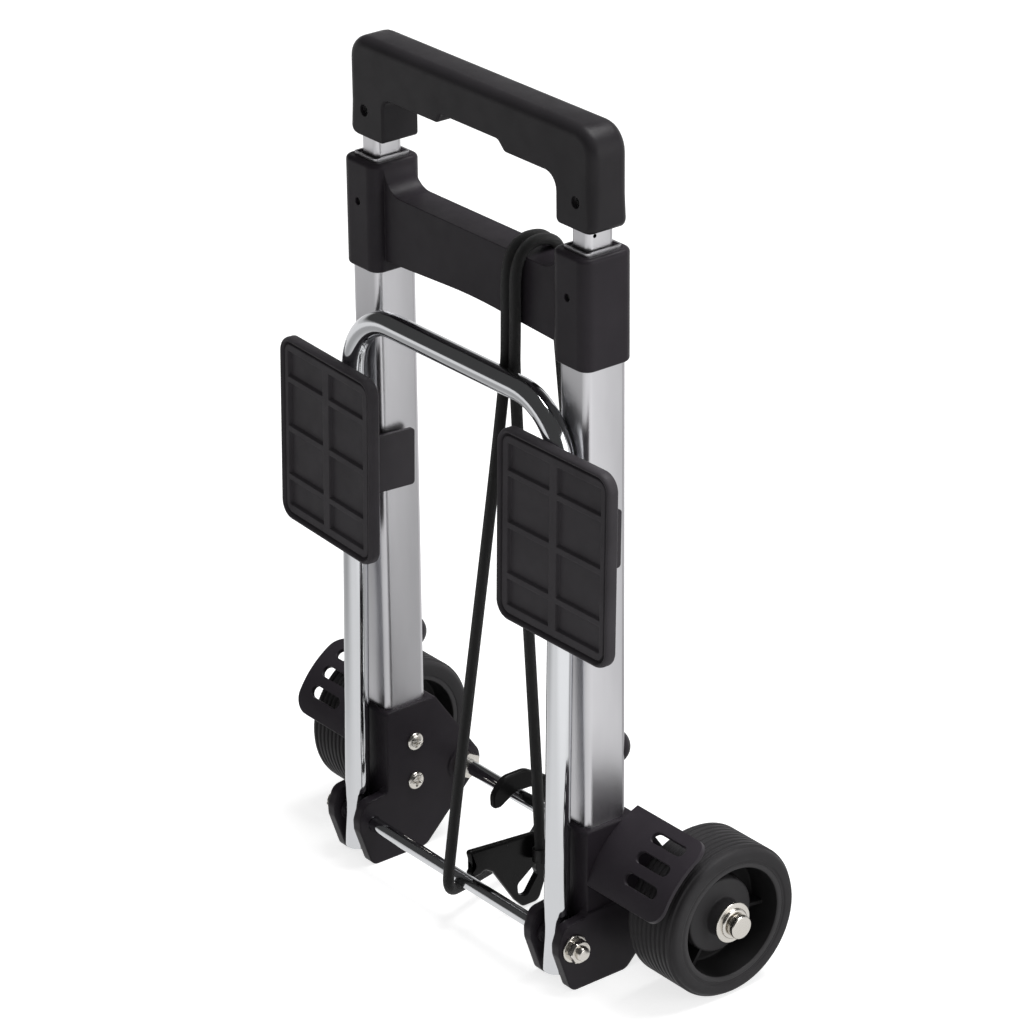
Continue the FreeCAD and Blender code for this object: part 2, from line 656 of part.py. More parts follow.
def make_mudguards():
    """A slotted shell round the axle's centre line, its outer corners rounded."""
    low_r = wheel_r + guard_clear
    high_r = low_r + guard_t
    in_x = tube_x + upright_w / 2 + socket_wall + fit_gap
    shell = ring(high_r, low_r, V(in_x, axle_y, axle_z), V(guard_out_x, axle_y, axle_z))
    middle = (guard_low_deg + guard_high_deg) / 2
    half_chord = high_r * math.sin(math.radians((guard_high_deg - guard_low_deg) / 2))
    # the cutter and the slots are made round the front horizontal, then turned up about the axle
    far = V(0, -2 * wheel_r, 0)
    cutter = rounded([
        (V(in_x - 1, axle_y, axle_z - half_chord), 0),
        (V(guard_out_x, axle_y, axle_z - half_chord), guard_corner_r),
        (V(guard_out_x, axle_y, axle_z + half_chord), guard_corner_r),
        (V(in_x - 1, axle_y, axle_z + half_chord), 0),
    ]).extrude(far)
    cutter.rotate(V(0, axle_y, axle_z), X_AXIS, -middle)
    shell = shell.common(cutter)
    for turn in slot_degs:
        slot_r = slot_height / 2 * 0.98
        slot = rounded([
            (V(slot_in_x, axle_y, axle_z - slot_height / 2), slot_r),
            (V(slot_out_x, axle_y, axle_z - slot_height / 2), slot_r),
            (V(slot_out_x, axle_y, axle_z + slot_height / 2), slot_r),
            (V(slot_in_x, axle_y, axle_z + slot_height / 2), slot_r),
        ]).extrude(far)
        slot.rotate(V(0, axle_y, axle_z), X_AXIS, -turn)
        shell = shell.cut(slot)
    save_pair("mudguard", shell)


def make_bumpers():
    """A domed button on the back of each upright, shaped to the tube it sits on."""
    centre = V(tube_x + bumper_out, tube_y + upright_d / 2 + bumper_height - bumper_r, bumper_z)
    ball = Part.makeSphere(bumper_r, centre)
    ball = ball.common(box(tube_x - upright_w, tube_x + upright_w, tube_y + upright_d / 2 - upright_back_r,
                           axle_y, 0, upright_top_z))
    right = ball.cut(prism(upright_w + 2 * fit_gap, upright_d + 2 * fit_gap, upright_front_r + fit_gap,
                           upright_back_r + fit_gap, tube_x, upright_foot_z, upright_top_z))
    save_pair("rear_bumper", right)


# ---- wheels ---------------------------------------------------------------------------------

def turned(points):
    """A solid of revolution about the axle; points are (x, radius)."""
    wire = Part.makePolygon([V(x, axle_y, axle_z + r) for x, r in points + points[:1]])
    return Part.Face(wire).revolve(V(0, axle_y, axle_z), X_AXIS, 360)


def make_wheels():
    """Ribbed tyre, rim with web and spokes, and a plain bush in the hub."""
    s = tyre_shoulder_r
    quarter = [math.radians(22.5 * k) for k in range(5)]
    left_arc = [(wheel_in_x + s - s * math.cos(a), wheel_r - s + s * math.sin(a)) for a in quarter]
    right_arc = [(wheel_out_x - s + s * math.sin(a), wheel_r - s + s * math.cos(a)) for a in quarter]
    pitch = (wheel_w - 2 * s) / tread_grooves
    grooves = []
    for k in range(tread_grooves):
        middle = wheel_in_x + s + pitch * (k + 0.5)
        deep = wheel_r - groove_depth
        grooves += [(middle - groove_width / 2, wheel_r), (middle - groove_width / 4, deep),
                    (middle + groove_width / 4, deep), (middle + groove_width / 2, wheel_r)]
    profile = [(wheel_in_x, rim_r)] + left_arc + grooves + right_arc + [(wheel_out_x, rim_r)]
    save_pair("tyre", turned(profile))

    bore_r = axle_d / 2 + turn_gap + bush_wall
    boss_r = hub_boss_d / 2
    inside_r = rim_r - rim_wall
    web_x = (wheel_in_x + wheel_out_x) / 2
    in_x = wheel_in_x + fit_gap
    hub = turned([
        (in_x, rim_r), (wheel_out_x - fit_gap, rim_r), (wheel_out_x - fit_gap, inside_r),
        (web_x + web_plate / 2, inside_r), (web_x + web_plate / 2, boss_r), (boss_out_x, boss_r),
        (boss_out_x, bore_r), (in_x, bore_r), (in_x, boss_r), (web_x - web_plate / 2, boss_r),
        (web_x - web_plate / 2, inside_r), (in_x, inside_r),
    ])
    for k in range(spoke_count):
        spoke = box(in_x + 2.0, boss_out_x - 4.0, axle_y - spoke_width / 2, axle_y + spoke_width / 2,
                    axle_z + boss_r - 1.5, axle_z + inside_r + 1.0)
        spoke.rotate(V(0, axle_y, axle_z), X_AXIS, 360.0 / spoke_count * k)
        hub = hub.fuse(spoke)
    save_pair("wheel_hub", hub.removeSplitter())
    save_pair("wheel_bush", ring(bore_r, axle_d / 2 + turn_gap, V(in_x, axle_y, axle_z),
                                 V(boss_out_x, axle_y, axle_z)))


def make_axle():
    """Axle, washers, inner nuts and end caps."""
    washer_x = boss_out_x + side_gap
    flange_x = washer_x + washer_t
    cap_x = flange_x + flange_t
    end_x = cap_x + cap_length
    reach = cap_x + cap_length * 0.6
    save("wheel_axle", rod(axle_d / 2, V(-reach, axle_y, axle_z), V(reach, axle_y, axle_z)))
    bore = axle_d / 2 + fit_gap
    washers = []
    caps = []
    nuts = []

    def at(x):
        return V(x, axle_y, axle_z)

    outer = ring(washer_d / 2, bore, at(washer_x), at(flange_x))
    flange = ring(flange_d / 2, bore, at(flange_x), at(cap_x))
    inner_x = wheel_in_x - side_gap
    inner = ring(washer_d / 2 - 1.0, bore, at(inner_x - washer_t), at(inner_x))
    for piece in (outer.fuse(flange).removeSplitter(), inner):
        washers += [piece, mirrored(piece)]
    cap = rod(cap_d / 2, at(cap_x), at(end_x))
    cap = soften(cap, 0.8, lambda e: all(abs(v.X - end_x) < 1e-4 for v in e.Vertexes))
    cap = cap.cut(rod(bore, at(cap_x - 1), at(reach + fit_gap)))
    caps += [cap, mirrored(cap)]
    nut_x = bracket_in_x - inner_boss_length - fit_gap
    nut = hexagon(axle_nut_width, at(nut_x - axle_nut_length), at(nut_x))
    nut = nut.cut(rod(bore, at(nut_x - 2 * axle_nut_length), at(nut_x + 1)))
    nuts += [nut, mirrored(nut)]
    save("axle_washers", group(washers))
    save("axle_caps", group(caps))
    save("axle_nuts", group(nuts))


# ---- toe frame ------------------------------------------------------------------------------

def lean(shape):
    """Leans a piece that was made upright back about the pivot, as the folded toe frame stands."""
    shape.rotate(V(0, pivot_y, pivot_z), X_AXIS, -toe_lean_deg)
    return shape


def make_toe_frame():
    """A bent U tube: two legs, two quarter bends and the crossbar."""
    top_z = pivot_z + toe_reach
    foot_z = pivot_z - toe_end_drop
    bend_z = top_z - toe_bend_r
    bend_x = toe_leg_x - toe_bend_r

    slant = toe_bend_r * math.sqrt(0.5)

    def bent(radius):
        left_foot, right_foot = V(-toe_leg_x, pivot_y, foot_z), V(toe_leg_x, pivot_y, foot_z)
        left_bend, right_bend = V(-toe_leg_x, pivot_y, bend_z), V(toe_leg_x, pivot_y, bend_z)
        left_top, right_top = V(-bend_x, pivot_y, top_z), V(bend_x, pivot_y, top_z)
        line = Part.Wire([
            Part.LineSegment(left_foot, left_bend).toShape(),
            Part.Arc(left_bend, V(-bend_x - slant, pivot_y, bend_z + slant), left_top).toShape(),
            Part.LineSegment(left_top, right_top).toShape(),
            Part.Arc(right_top, V(bend_x + slant, pivot_y, bend_z + slant), right_bend).toShape(),
            Part.LineSegment(right_bend, right_foot).toShape(),
        ])
        disc = Part.Wire([Part.makeCircle(radius, left_foot, Z_AXIS)])
        return line.makePipeShell([disc], True, False)

    frame = bent(toe_tube_d / 2).cut(bent(toe_tube_d / 2 - toe_tube_wall))
    frame = frame.cut(rod(pivot_d / 2 + turn_gap, V(-2 * toe_leg_x, pivot_y, pivot_z),
                          V(2 * toe_leg_x, pivot_y, pivot_z)))
    save("toe_frame", lean(frame))

    spacers = []
    for x0, x1 in ((bracket_in_x + ear_t + side_gap, toe_leg_x - toe_tube_d / 2 - fit_gap),
                   (toe_leg_x + toe_tube_d / 2 + fit_gap, bracket_out_x - ear_t - side_gap)):
        piece = ring(spacer_d / 2, pivot_d / 2 + turn_gap, V(x0, pivot_y, pivot_z),
                     V(x1, pivot_y, pivot_z))
        spacers += [piece, mirrored(piece)]
    save("pivot_spacers", group(spacers))


def make_pivot():
    """The rod through both brackets, with a washer and a dome nut at each end."""
    washer_x = bracket_out_x + fit_gap
    nut_x = washer_x + rod_washer_t + fit_gap
    dome_x = nut_x + rod_nut_length
    reach = dome_x - 0.6
    save("pivot_rod", rod(pivot_d / 2, V(-reach, pivot_y, pivot_z), V(reach, pivot_y, pivot_z)))

    def at(x):
        return V(x, pivot_y, pivot_z)

    washer = ring(rod_washer_d / 2, pivot_d / 2 + fit_gap, at(washer_x), at(washer_x + rod_washer_t))
    save("pivot_washers", group([washer, mirrored(washer)]))
    nut = hexagon(rod_nut_width, at(nut_x), at(dome_x))
    ball = Part.makeSphere(rod_dome_r, V(dome_x - rod_dome_r * 0.25, pivot_y, pivot_z))
    dome = ball.common(box(dome_x, dome_x + rod_dome_r, -3 * wheel_r, 3 * wheel_r, 0, 2 * wheel_r))
    nut = nut.fuse(dome).removeSplitter().cut(rod(pivot_d / 2 + fit_gap, at(0), at(reach + fit_gap)))
    save("pivot_nuts", group([nut, mirrored(nut)]))


# ---- foot pads ------------------------------------------------------------------------------

def make_pad(side, centre_z, turn):
    """A pocketed plate in front of the leg, with the clip that turns on the leg and the fork behind."""
    name = "right" if side > 0 else "left"
    mid_x = toe_leg_x + pad_centre_out
    back_y = pivot_y - toe_tube_d / 2 - clip_gap
    front_y = back_y - pad_t
    x0, x1 = mid_x - pad_w / 2, mid_x + pad_w / 2
    z0, z1 = centre_z - pad_h / 2, centre_z + pad_h / 2
    r = pad_corner_r
    plate = front_plate([(x0, z0, r), (x1, z0, r), (x1, z1, r), (x0, z1, r)], front_y, back_y)
    plate = soften(plate, 1.2, lambda e: all(abs(v.Y - front_y) < 1e-4 for v in e.Vertexes))
    column = (pad_w - 2 * pocket_margin - pocket_rib) / 2
    total = sum(pocket_rows)
    for k in range(2):
        px = x0 + pocket_margin + k * (column + pocket_rib)
        pz = centre_z - total / 2
        for row in pocket_rows:
            a, b = pz + pocket_rib / 2, pz + row - pocket_rib / 2
            pocket = [(px, a, 1), (px + column, a, 1), (px + column, b, 1), (px, b, 1)]
            plate = plate.cut(front_plate(pocket, front_y - 1, front_y + pocket_depth))
            pz += row
    fork_z = centre_z - fork_drop
    clip_r = toe_tube_d / 2 + clip_gap
    half_clip = clip_r + clip_wall
    clip = box(toe_leg_x - half_clip, toe_leg_x + half_clip, back_y, pivot_y + clip_reach,
               fork_z - clip_height / 2, fork_z + clip_height / 2)
    low, high = V(toe_leg_x, pivot_y, 0), V(toe_leg_x, pivot_y, 2 * toe_reach)
    clip = clip.cut(rod(clip_r, low, high))
    clip = clip.cut(box(toe_leg_x - clip_mouth / 2, toe_leg_x + clip_mouth / 2, pivot_y, 0,
                        0, 2 * toe_reach))
    plate = plate.cut(rod(clip_r, low, high))
    body = plate.fuse(clip)

    # the fork's arms stand either side of the upright, on feet behind the plate
    gap = upright_w / 2 + fork_play
    low, high = fork_z - fork_height / 2, fork_z + fork_height / 2
    tip_y = pivot_y + fork_reach
    for inner, outer in ((tube_x - gap - fork_t, tube_x - gap), (tube_x + gap, tube_x + gap + fork_t)):
        points = [(back_y, low, 0), (tip_y, low, fork_tip_r), (tip_y, high, fork_tip_r), (back_y, high, 0)]
        body = body.fuse(side_plate(points, inner, outer))
    body = body.removeSplitter()
    if side < 0:
        body = mirrored(body)
    body.rotate(V(side * toe_leg_x, pivot_y, 0), Z_AXIS, side * turn)
    save("foot_pad_" + name, lean(body))


# ---- elastic cord ---------------------------------------------------------------------------

def cord_tube(points, diameter):
    """Straight runs joined by tangent arcs; a point is (place, radius of its arc)."""
    edges = []
    start = points[0][0]
    for i in range(1, len(points) - 1):
        corner, wanted = points[i]
        before = points[i - 1][0].sub(corner)
        after = points[i + 1][0].sub(corner)
        shorter = min(before.Length, after.Length)
        before.normalize()
        after.normalize()
        half = before.getAngle(after) / 2
        largest = 0.45 * shorter * math.tan(half)
        radius = min(wanted, largest) if wanted else largest
        print("cord point %d turns %.0f degrees, radius %.1f" % (i, 180 - 2 * math.degrees(half), radius))
        step = radius / math.tan(half)
        middle = before.add(after)
        middle.normalize()
        centre = corner.add(middle.multiply(radius / math.sin(half)))
        towards = corner.sub(centre)
        towards.normalize()
        first = corner.add(before.multiply(step))
        last = corner.add(after.multiply(step))
        edges.append(Part.LineSegment(start, first).toShape())
        edges.append(Part.Arc(first, centre.add(towards.multiply(radius)), last).toShape())
        start = last
    edges.append(Part.LineSegment(start, points[-1][0]).toShape())
    wire = Part.Wire(edges)
    along = points[1][0].sub(points[0][0])
    disc = Part.Wire([Part.makeCircle(diameter / 2, points[0][0], along)])
    solid = wire.makePipeShell([disc], True, False)
    ideal = math.pi * diameter ** 2 / 4 * wire.Length
    print("cord length %.1f, volume %.4f of section times length" % (wire.Length, solid.Volume / ideal))
    return solid


def make_cord():
    points = [(V(x, tube_y + y, z), r) for x, y, z, r in cord_route]
    solid = cord_tube(points, cord_d)
    save("elastic_cord", solid)


def make_hooks():
    """The hook over the axle, the flat hook plate on the pivot rod and a ferrule at each cord end."""
    top = axle_z + axle_d / 2 + fit_gap
    hook = side_plate([
        (axle_y - 16.8, axle_z - 0.2, 2.2), (axle_y - 16.6, axle_z + 8.8, 4.5),
        (axle_y - 9.8, axle_z + 14.2, 5.0), (axle_y + 0.6, axle_z + 14.0, 6.0),
        (axle_y + 16.6, axle_z + 3.6, 5.0), (axle_y + 16.6, axle_z - 9.0, 3.0),
        (axle_y + 7.5, axle_z - 9.0, 3.0), (axle_y + 7.5, top, 3.0), (axle_y - 5.4, top, 1.5),
        (axle_y - 12.9, axle_z - 0.2, 1.4),
    ], hook_axle_x - hook_t / 2, hook_axle_x + hook_t / 2)
    save("cord_hook_axle", hook)

    plate = side_plate([
        (pivot_y - 3.4, pivot_z + 18.3, 1.5), (pivot_y - 0.4, pivot_z + 9.1, 1.5),
        (pivot_y - 3.6, pivot_z + 7.1, 1.2), (pivot_y + 2.2, pivot_z + 2.9, 0.6),
        (pivot_y + 7.5, pivot_z + 4.6, 4.0), (pivot_y + 22.6, pivot_z - 15.6, 3.0),
        (pivot_y + 27.0, 0.8, 2.0), (pivot_y + 36.6, 0.8, 3.5), (pivot_y + 38.6, pivot_z - 13.6, 2.0),
        (pivot_y + 41.0, pivot_z - 7.0, 3.0), (pivot_y + 41.0, pivot_z + 5.0, 4.0),
        (pivot_y + 35.4, pivot_z + 14.6, 3.0),
    ], hook_rod_x - hook_t / 2, hook_rod_x + hook_t / 2)
    eye = side_plate([
        (pivot_y + 34.3, pivot_z - 0.1, 0.6), (pivot_y + 23.2, pivot_z - 7.6, 2.0),
        (pivot_y + 23.8, pivot_z - 12.6, 2.0), (pivot_y + 28.6, pivot_z - 15.9, 1.8),
        (pivot_y + 35.5, pivot_z - 6.5, 0.8), (pivot_y + 33.9, pivot_z - 3.7, 0.8),
    ], hook_rod_x - hook_t, hook_rod_x + hook_t)
    save("cord_hook_rod", plate.cut(eye))

    ferrules = []
    for (x0, y0, z0, _), (x1, y1, z1, _) in (cord_route[:2], cord_route[-1:-3:-1]):
        start = V(x0, tube_y + y0, z0)
        along = V(x1, tube_y + y1, z1).sub(start)
        along.normalize()
        end = start.add(V(along.x, along.y, along.z).multiply(crimp_length))
        ferrules.append(ring(crimp_d / 2, cord_d / 2 + fit_gap, start, end))
    save("cord_crimps", group(ferrules))


os.makedirs("parts", exist_ok=True)
make_uprights()
make_mid_stage()
make_inner_tubes()
make_lock_blocks()
make_grip()
make_release()
make_bridge()
make_brackets()
make_mudguards()
make_bumpers()
make_wheels()
make_axle()
make_toe_frame()
make_pivot()
make_pad(1, pad_right_z, pad_right_turn)
make_pad(-1, pad_left_z, pad_left_turn)
make_cord()
make_hooks()
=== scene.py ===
"""Folding two-wheel hand truck, folded: finishes, finely modelled pieces and a plain studio.

Metres, +Z up, +Y to the wheels, -Y to the foot pads, origin on the ground under the middle.
"""

import bmesh
import bpy
import math
import numpy as np
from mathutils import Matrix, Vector


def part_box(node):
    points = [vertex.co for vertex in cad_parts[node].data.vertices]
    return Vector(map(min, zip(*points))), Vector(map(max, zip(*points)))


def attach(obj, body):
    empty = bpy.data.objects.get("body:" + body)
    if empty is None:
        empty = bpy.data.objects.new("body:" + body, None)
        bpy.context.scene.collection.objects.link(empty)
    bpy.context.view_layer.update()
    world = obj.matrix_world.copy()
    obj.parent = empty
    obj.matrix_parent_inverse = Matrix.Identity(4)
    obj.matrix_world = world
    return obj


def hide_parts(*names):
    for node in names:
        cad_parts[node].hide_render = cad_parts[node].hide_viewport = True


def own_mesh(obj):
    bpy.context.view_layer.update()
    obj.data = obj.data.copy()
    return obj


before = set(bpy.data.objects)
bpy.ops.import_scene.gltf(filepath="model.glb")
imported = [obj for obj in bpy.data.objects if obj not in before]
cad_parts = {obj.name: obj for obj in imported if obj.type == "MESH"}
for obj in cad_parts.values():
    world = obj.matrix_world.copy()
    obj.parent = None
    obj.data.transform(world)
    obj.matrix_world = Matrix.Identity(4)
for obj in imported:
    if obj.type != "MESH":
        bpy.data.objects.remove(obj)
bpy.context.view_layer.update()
MM = 0.001


# ---- places read from the frame -----------------------------------------------------------

def middle(node):
    """The middle of a node's box, in metres."""
    low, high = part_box(node)
    return (low + high) / 2


def box_mm(node):
    """The two corners of a node's box, in millimetres."""
    return [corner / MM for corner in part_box(node)]


TUBE_X = middle("upright_right").x
TUBE_Y = middle("upright_right").y
AXLE = (middle("wheel_axle") / MM)[1:]      # y and z, in millimetres
PIVOT = (middle("pivot_rod") / MM)[1:]
GRIP_BODY = "handle_stage"
MID_BODY = "mid_stage"


def put(name, data):
    """A new object in the scene."""
    made = bpy.data.objects.new(name, data)
    bpy.context.scene.collection.objects.link(made)
    return made


# ---- material nodes -------------------------------------------------------------------------

class Finish:
    """A new material with one Principled shader; constants are set straight on its sockets."""

    def __init__(self, name, colour, roughness, metallic=0.0, **sockets):
        self.material = bpy.data.materials.new(name)
        self.material.use_nodes = True
        self.tree = self.material.node_tree
        self.shader = self.tree.nodes["Principled BSDF"]
        self.shader.inputs["Base Color"].default_value = (*colour, 1.0)
        self.shader.inputs["Roughness"].default_value = roughness
        self.shader.inputs["Metallic"].default_value = metallic
        for socket, value in sockets.items():
            self.shader.inputs[socket.replace("_", " ")].default_value = value
        self.normal = None

    def node(self, kind, **settings):
        made = self.tree.nodes.new(kind)
        for name, value in settings.items():
            setattr(made, name, value)
        return made

    def link(self, source, target):
        self.tree.links.new(source, target)

    def place(self, scale=(1.0, 1.0, 1.0), turn=(0.0, 0.0, 0.0), source="Object"):
        """Coordinates on the piece, stretched and turned."""
        where = self.node("ShaderNodeTexCoord")
        mapping = self.node("ShaderNodeMapping")
        mapping.inputs["Scale"].default_value = scale
        mapping.inputs["Rotation"].default_value = turn
        self.link(where.outputs[source], mapping.inputs["Vector"])
        return mapping.outputs["Vector"]

    def noise(self, where, scale, detail=2.0, roughness=0.5):
        made = self.node("ShaderNodeTexNoise")
        made.inputs["Scale"].default_value = scale
        made.inputs["Detail"].default_value = detail
        made.inputs["Roughness"].default_value = roughness
        self.link(where, made.inputs["Vector"])
        return made.outputs["Fac"]

    def math(self, operation, first, second=0.0):
        """One sum on nodes' outputs or numbers."""
        made = self.node("ShaderNodeMath", operation=operation)
        for socket, value in zip(made.inputs, (first, second)):
            if isinstance(value, bpy.types.NodeSocket):
                self.link(value, socket)
            else:
                socket.default_value = value
        return made.outputs[0]

    def squares(self, first, second):
        """The sum of two squares."""
        return self.math("ADD", self.math("MULTIPLY", first, first),
                         self.math("MULTIPLY", second, second))

    def parts(self, where):
        """A place's three numbers."""
        made = self.node("ShaderNodeSeparateXYZ")
        self.link(where, made.inputs[0])
        return made.outputs

    def spread(self, value, low, high, start=0.3, end=0.7):
        """Maps a noise value between start and end onto a range."""
        made = self.node("ShaderNodeMapRange")
        limits = {"From Min": start, "From Max": end, "To Min": low, "To Max": high}
        for name, number in limits.items():
            made.inputs[name].default_value = number
        self.link(value, made.inputs["Value"])
        return made.outputs["Result"]

    def blend(self, value, first, second):
        """Mixes two colours by a value."""
        made = self.node("ShaderNodeMix", data_type="RGBA")
        made.inputs["A"].default_value = (*first, 1.0)
        made.inputs["B"].default_value = (*second, 1.0)
        self.link(value, made.inputs["Factor"])
        return made.outputs["Result"]

    def colour(self, output):
        self.link(output, self.shader.inputs["Base Color"])

    def rough(self, output):
        self.link(output, self.shader.inputs["Roughness"])

    def soft_edges(self, radius):
        """Shades sharp edges as if they were rounded."""
        made = self.node("ShaderNodeBevel", samples=6)
        made.inputs["Radius"].default_value = radius
        self.normal = made.outputs["Normal"]
        self.link(self.normal, self.shader.inputs["Normal"])

    def bump(self, height, distance, strength=1.0):
        """Adds relief over what relief there is."""
        made = self.node("ShaderNodeBump")
        made.inputs["Distance"].default_value = distance
        made.inputs["Strength"].default_value = strength
        self.link(height, made.inputs["Height"])
        if self.normal is not None:
            self.link(self.normal, made.inputs["Normal"])
        self.normal = made.outputs["Normal"]
        self.link(self.normal, self.shader.inputs["Normal"])


# ---- finishes -------------------------------------------------------------------------------

CROWN = 3.3                         # of the tubes' faces, per metre
GRAIN = 0.03 * MM                   # relief of the mouldings' texture
SOFT_EDGE = 0.6 * MM
CLOUD_SCALE, SHEEN_SCALE, GRAIN_SCALE = 45.0, 120.0, 2600.0
RECESS_SHADE = (17.3 * MM, 25.2 * MM)  # painted shade in the wheels' recess, from the disc to the rim
YARNS = (260.0, 14.0, 1.0)          # along the cord and round it


def grey(level, tint=0.0):
    """A near-neutral colour; tint above nought takes some green out, for a faint plum cast."""
    return (level, level * (1 - tint), level * (1 + tint * 0.3))


def moulded_plastic(name, level, gloss, tint, edge=SOFT_EDGE):
    """Charcoal moulding: faint cloudy shade, fine spark-eroded grain, uneven sheen."""
    made = Finish(name, grey(level, tint), gloss, Specular_IOR_Level=0.15)
    made.soft_edges(edge)
    where = made.place()
    cloud = made.spread(made.noise(where, CLOUD_SCALE, 3.0), 0.0, 1.0)
    made.colour(made.blend(cloud, grey(level * 0.9, tint), grey(level * 1.12, tint)))
    made.rough(made.spread(made.noise(where, SHEEN_SCALE, 3.0), gloss - 0.05, gloss + 0.07))
    made.bump(made.noise(where, GRAIN_SCALE, 2.0, 0.6), GRAIN)
    return made.material


def hub_moulding(name):
    """The wheels' moulding: paler on disc and rim, with shade painted dark down in the recess ring
    between them.
    """
    made = Finish(name, grey(0.03, 0.03), 0.42, Specular_IOR_Level=0.15)
    made.soft_edges(SOFT_EDGE)
    where = made.place()
    place = made.parts(where)
    back = made.math("SUBTRACT", place["Y"], AXLE[0] * MM)
    up = made.math("SUBTRACT", place["Z"], AXLE[1] * MM)
    radius = made.math("SQRT", made.squares(back, up))
    past_disc = made.math("GREATER_THAN", radius, RECESS_SHADE[0])
    within_rim = made.math("LESS_THAN", radius, RECESS_SHADE[1])
    ring = made.math("MULTIPLY", past_disc, within_rim)
    # painted shade: the ring down in the recess is coloured far darker than the disc and rim
    made.colour(made.blend(ring, grey(0.055, 0.03), grey(0.017, 0.03)))
    made.rough(made.spread(made.noise(where, SHEEN_SCALE, 3.0), 0.37, 0.49))
    made.bump(made.noise(where, GRAIN_SCALE, 2.0, 0.6), GRAIN)
    return made.material


def drawn_aluminium(name):
    """Satin extrusion: die lines along its length, a slow change of shade, and faces crowned a
    little, their height falling with the square of the distance from the tube's centre line."""
    made = Finish(name, (0.64, 0.635, 0.655), 0.32, 1.0)
    streaks = made.noise(made.place((1.0, 1.0, 0.006)), 1500.0, 3.0, 0.6)
    made.rough(made.spread(streaks, 0.29, 0.35))
    slow = made.spread(made.noise(made.place((1.0, 1.0, 0.3)), 60.0, 2.0), 0.0, 1.0)
    made.colour(made.blend(slow, (0.61, 0.605, 0.625), (0.68, 0.675, 0.695)))
    place = made.parts(made.place())
    out = made.math("SUBTRACT", made.math("ABSOLUTE", place["X"]), TUBE_X)
    back = made.math("SUBTRACT", place["Y"], TUBE_Y)
    made.bump(made.math("MULTIPLY", made.squares(out, back), -CROWN), 1.0)
    made.bump(streaks, 0.0012 * MM, 0.5)
    return made.material


def bright_chrome(name):
    """Plated tube: nearly a mirror, with a slight haze and the tube's faint waviness."""
    made = Finish(name, (0.72, 0.73, 0.75), 0.08, 1.0)
    where = made.place()
    made.rough(made.spread(made.noise(where, 220.0, 3.0), 0.05, 0.13))
    made.bump(made.noise(where, 70.0, 1.0), 0.05 * MM, 0.5)
    return made.material


def bright_plate(name):
    """Nickel on small turned parts: fine scuffs and a soft gloss."""
    made = Finish(name, (0.74, 0.71, 0.66), 0.22, 1.0)
    where = made.place()
    made.rough(made.spread(made.noise(where, 500.0, 3.0), 0.16, 0.3))
    made.bump(made.noise(where, 1800.0, 2.0), 0.01 * MM)
    return made.material


def black_screw(name):
    """Blackened steel with an uneven dull gloss."""
    made = Finish(name, grey(0.014), 0.5, 0.1)
    where = made.place()
    made.rough(made.spread(made.noise(where, 700.0, 2.0), 0.42, 0.6))
    return made.material


def braided_sleeve(name):
    """Woven sleeve: two sets of slanting yarns that cross, from the cord's own UV map."""
    made = Finish(name, grey(0.012), 0.62, 0.0, Specular_IOR_Level=0.3, Sheen_Weight=0.15)
    where = made.place(YARNS, source="UV")
    wave = made.node("ShaderNodeTexWave", wave_type="BANDS", bands_direction="DIAGONAL")
    made.link(where, wave.inputs["Vector"])
    made.bump(wave.outputs["Fac"], 0.15 * MM, 0.6)
    made.colour(made.blend(wave.outputs["Fac"], grey(0.008), grey(0.02)))
    return made.material


GRIP_PLASTIC = moulded_plastic("grip_plastic", 0.026, 0.38, 0.08)
BRACKET_PLASTIC = moulded_plastic("bracket_plastic", 0.028, 0.38, 0.14)
PAD_PLASTIC = moulded_plastic("pad_plastic", 0.055, 0.48, 0.08)
GUARD_PLASTIC = moulded_plastic("guard_plastic", 0.033, 0.38, 0.14)
SOCKET_PLASTIC = moulded_plastic("socket_plastic", 0.024, 0.38, 0.16, edge=1.5 * MM)
TYRE_PLASTIC = moulded_plastic("tyre_plastic", 0.038, 0.5, 0.04)
HUB_PLASTIC = hub_moulding("hub_plastic")
ALUMINIUM = drawn_aluminium("drawn_aluminium")
CHROME = bright_chrome("bright_chrome")
PLATE = bright_plate("bright_plate")
SCREW = black_screw("black_screw")
SLEEVE = braided_sleeve("braided_sleeve")
HOOK_COAT = moulded_plastic("hook_coat", 0.008, 0.22, 0.0)

NODE_FINISH = {
    "upright": ALUMINIUM, "mid_tube": ALUMINIUM, "inner_tube": ALUMINIUM,
    "mid_bush": BRACKET_PLASTIC, "mid_guide": BRACKET_PLASTIC, "lock_block": BRACKET_PLASTIC,
    "bridge_bracket": BRACKET_PLASTIC, "rear_bumper": BRACKET_PLASTIC,
    "pivot_spacers": BRACKET_PLASTIC, "lower_bracket": SOCKET_PLASTIC, "mudguard": GUARD_PLASTIC,
    "foot_pad": PAD_PLASTIC, "tyre": TYRE_PLASTIC, "wheel_hub": HUB_PLASTIC,
    "wheel_bush": HUB_PLASTIC, "handle_front": GRIP_PLASTIC, "handle_back": GRIP_PLASTIC,
    "release_trigger": GRIP_PLASTIC, "handle_screws": SCREW, "bridge_screws": SCREW,
    "cord_crimps": SCREW, "wheel_axle": CHROME, "toe_frame": CHROME, "pivot_rod": CHROME,
    "axle_washers": PLATE, "axle_caps": PLATE, "axle_nuts": PLATE, "pivot_washers": PLATE,
    "pivot_nuts": PLATE, "bracket_screws": PLATE, "lock_pin": PLATE, "pull_rods": PLATE,
    "trigger_springs": PLATE, "elastic_cord": SLEEVE, "cord_hook_axle": HOOK_COAT,
    "cord_hook_rod": HOOK_COAT,
}


def paint(piece, finish):
    """Gives a piece one finish."""
    piece.data.materials.clear()
    piece.data.materials.append(finish)


for name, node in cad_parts.items():
    paint(node, NODE_FINISH[name.removesuffix("_left").removesuffix("_right")])


# ---- surfaces -------------------------------------------------------------------------------

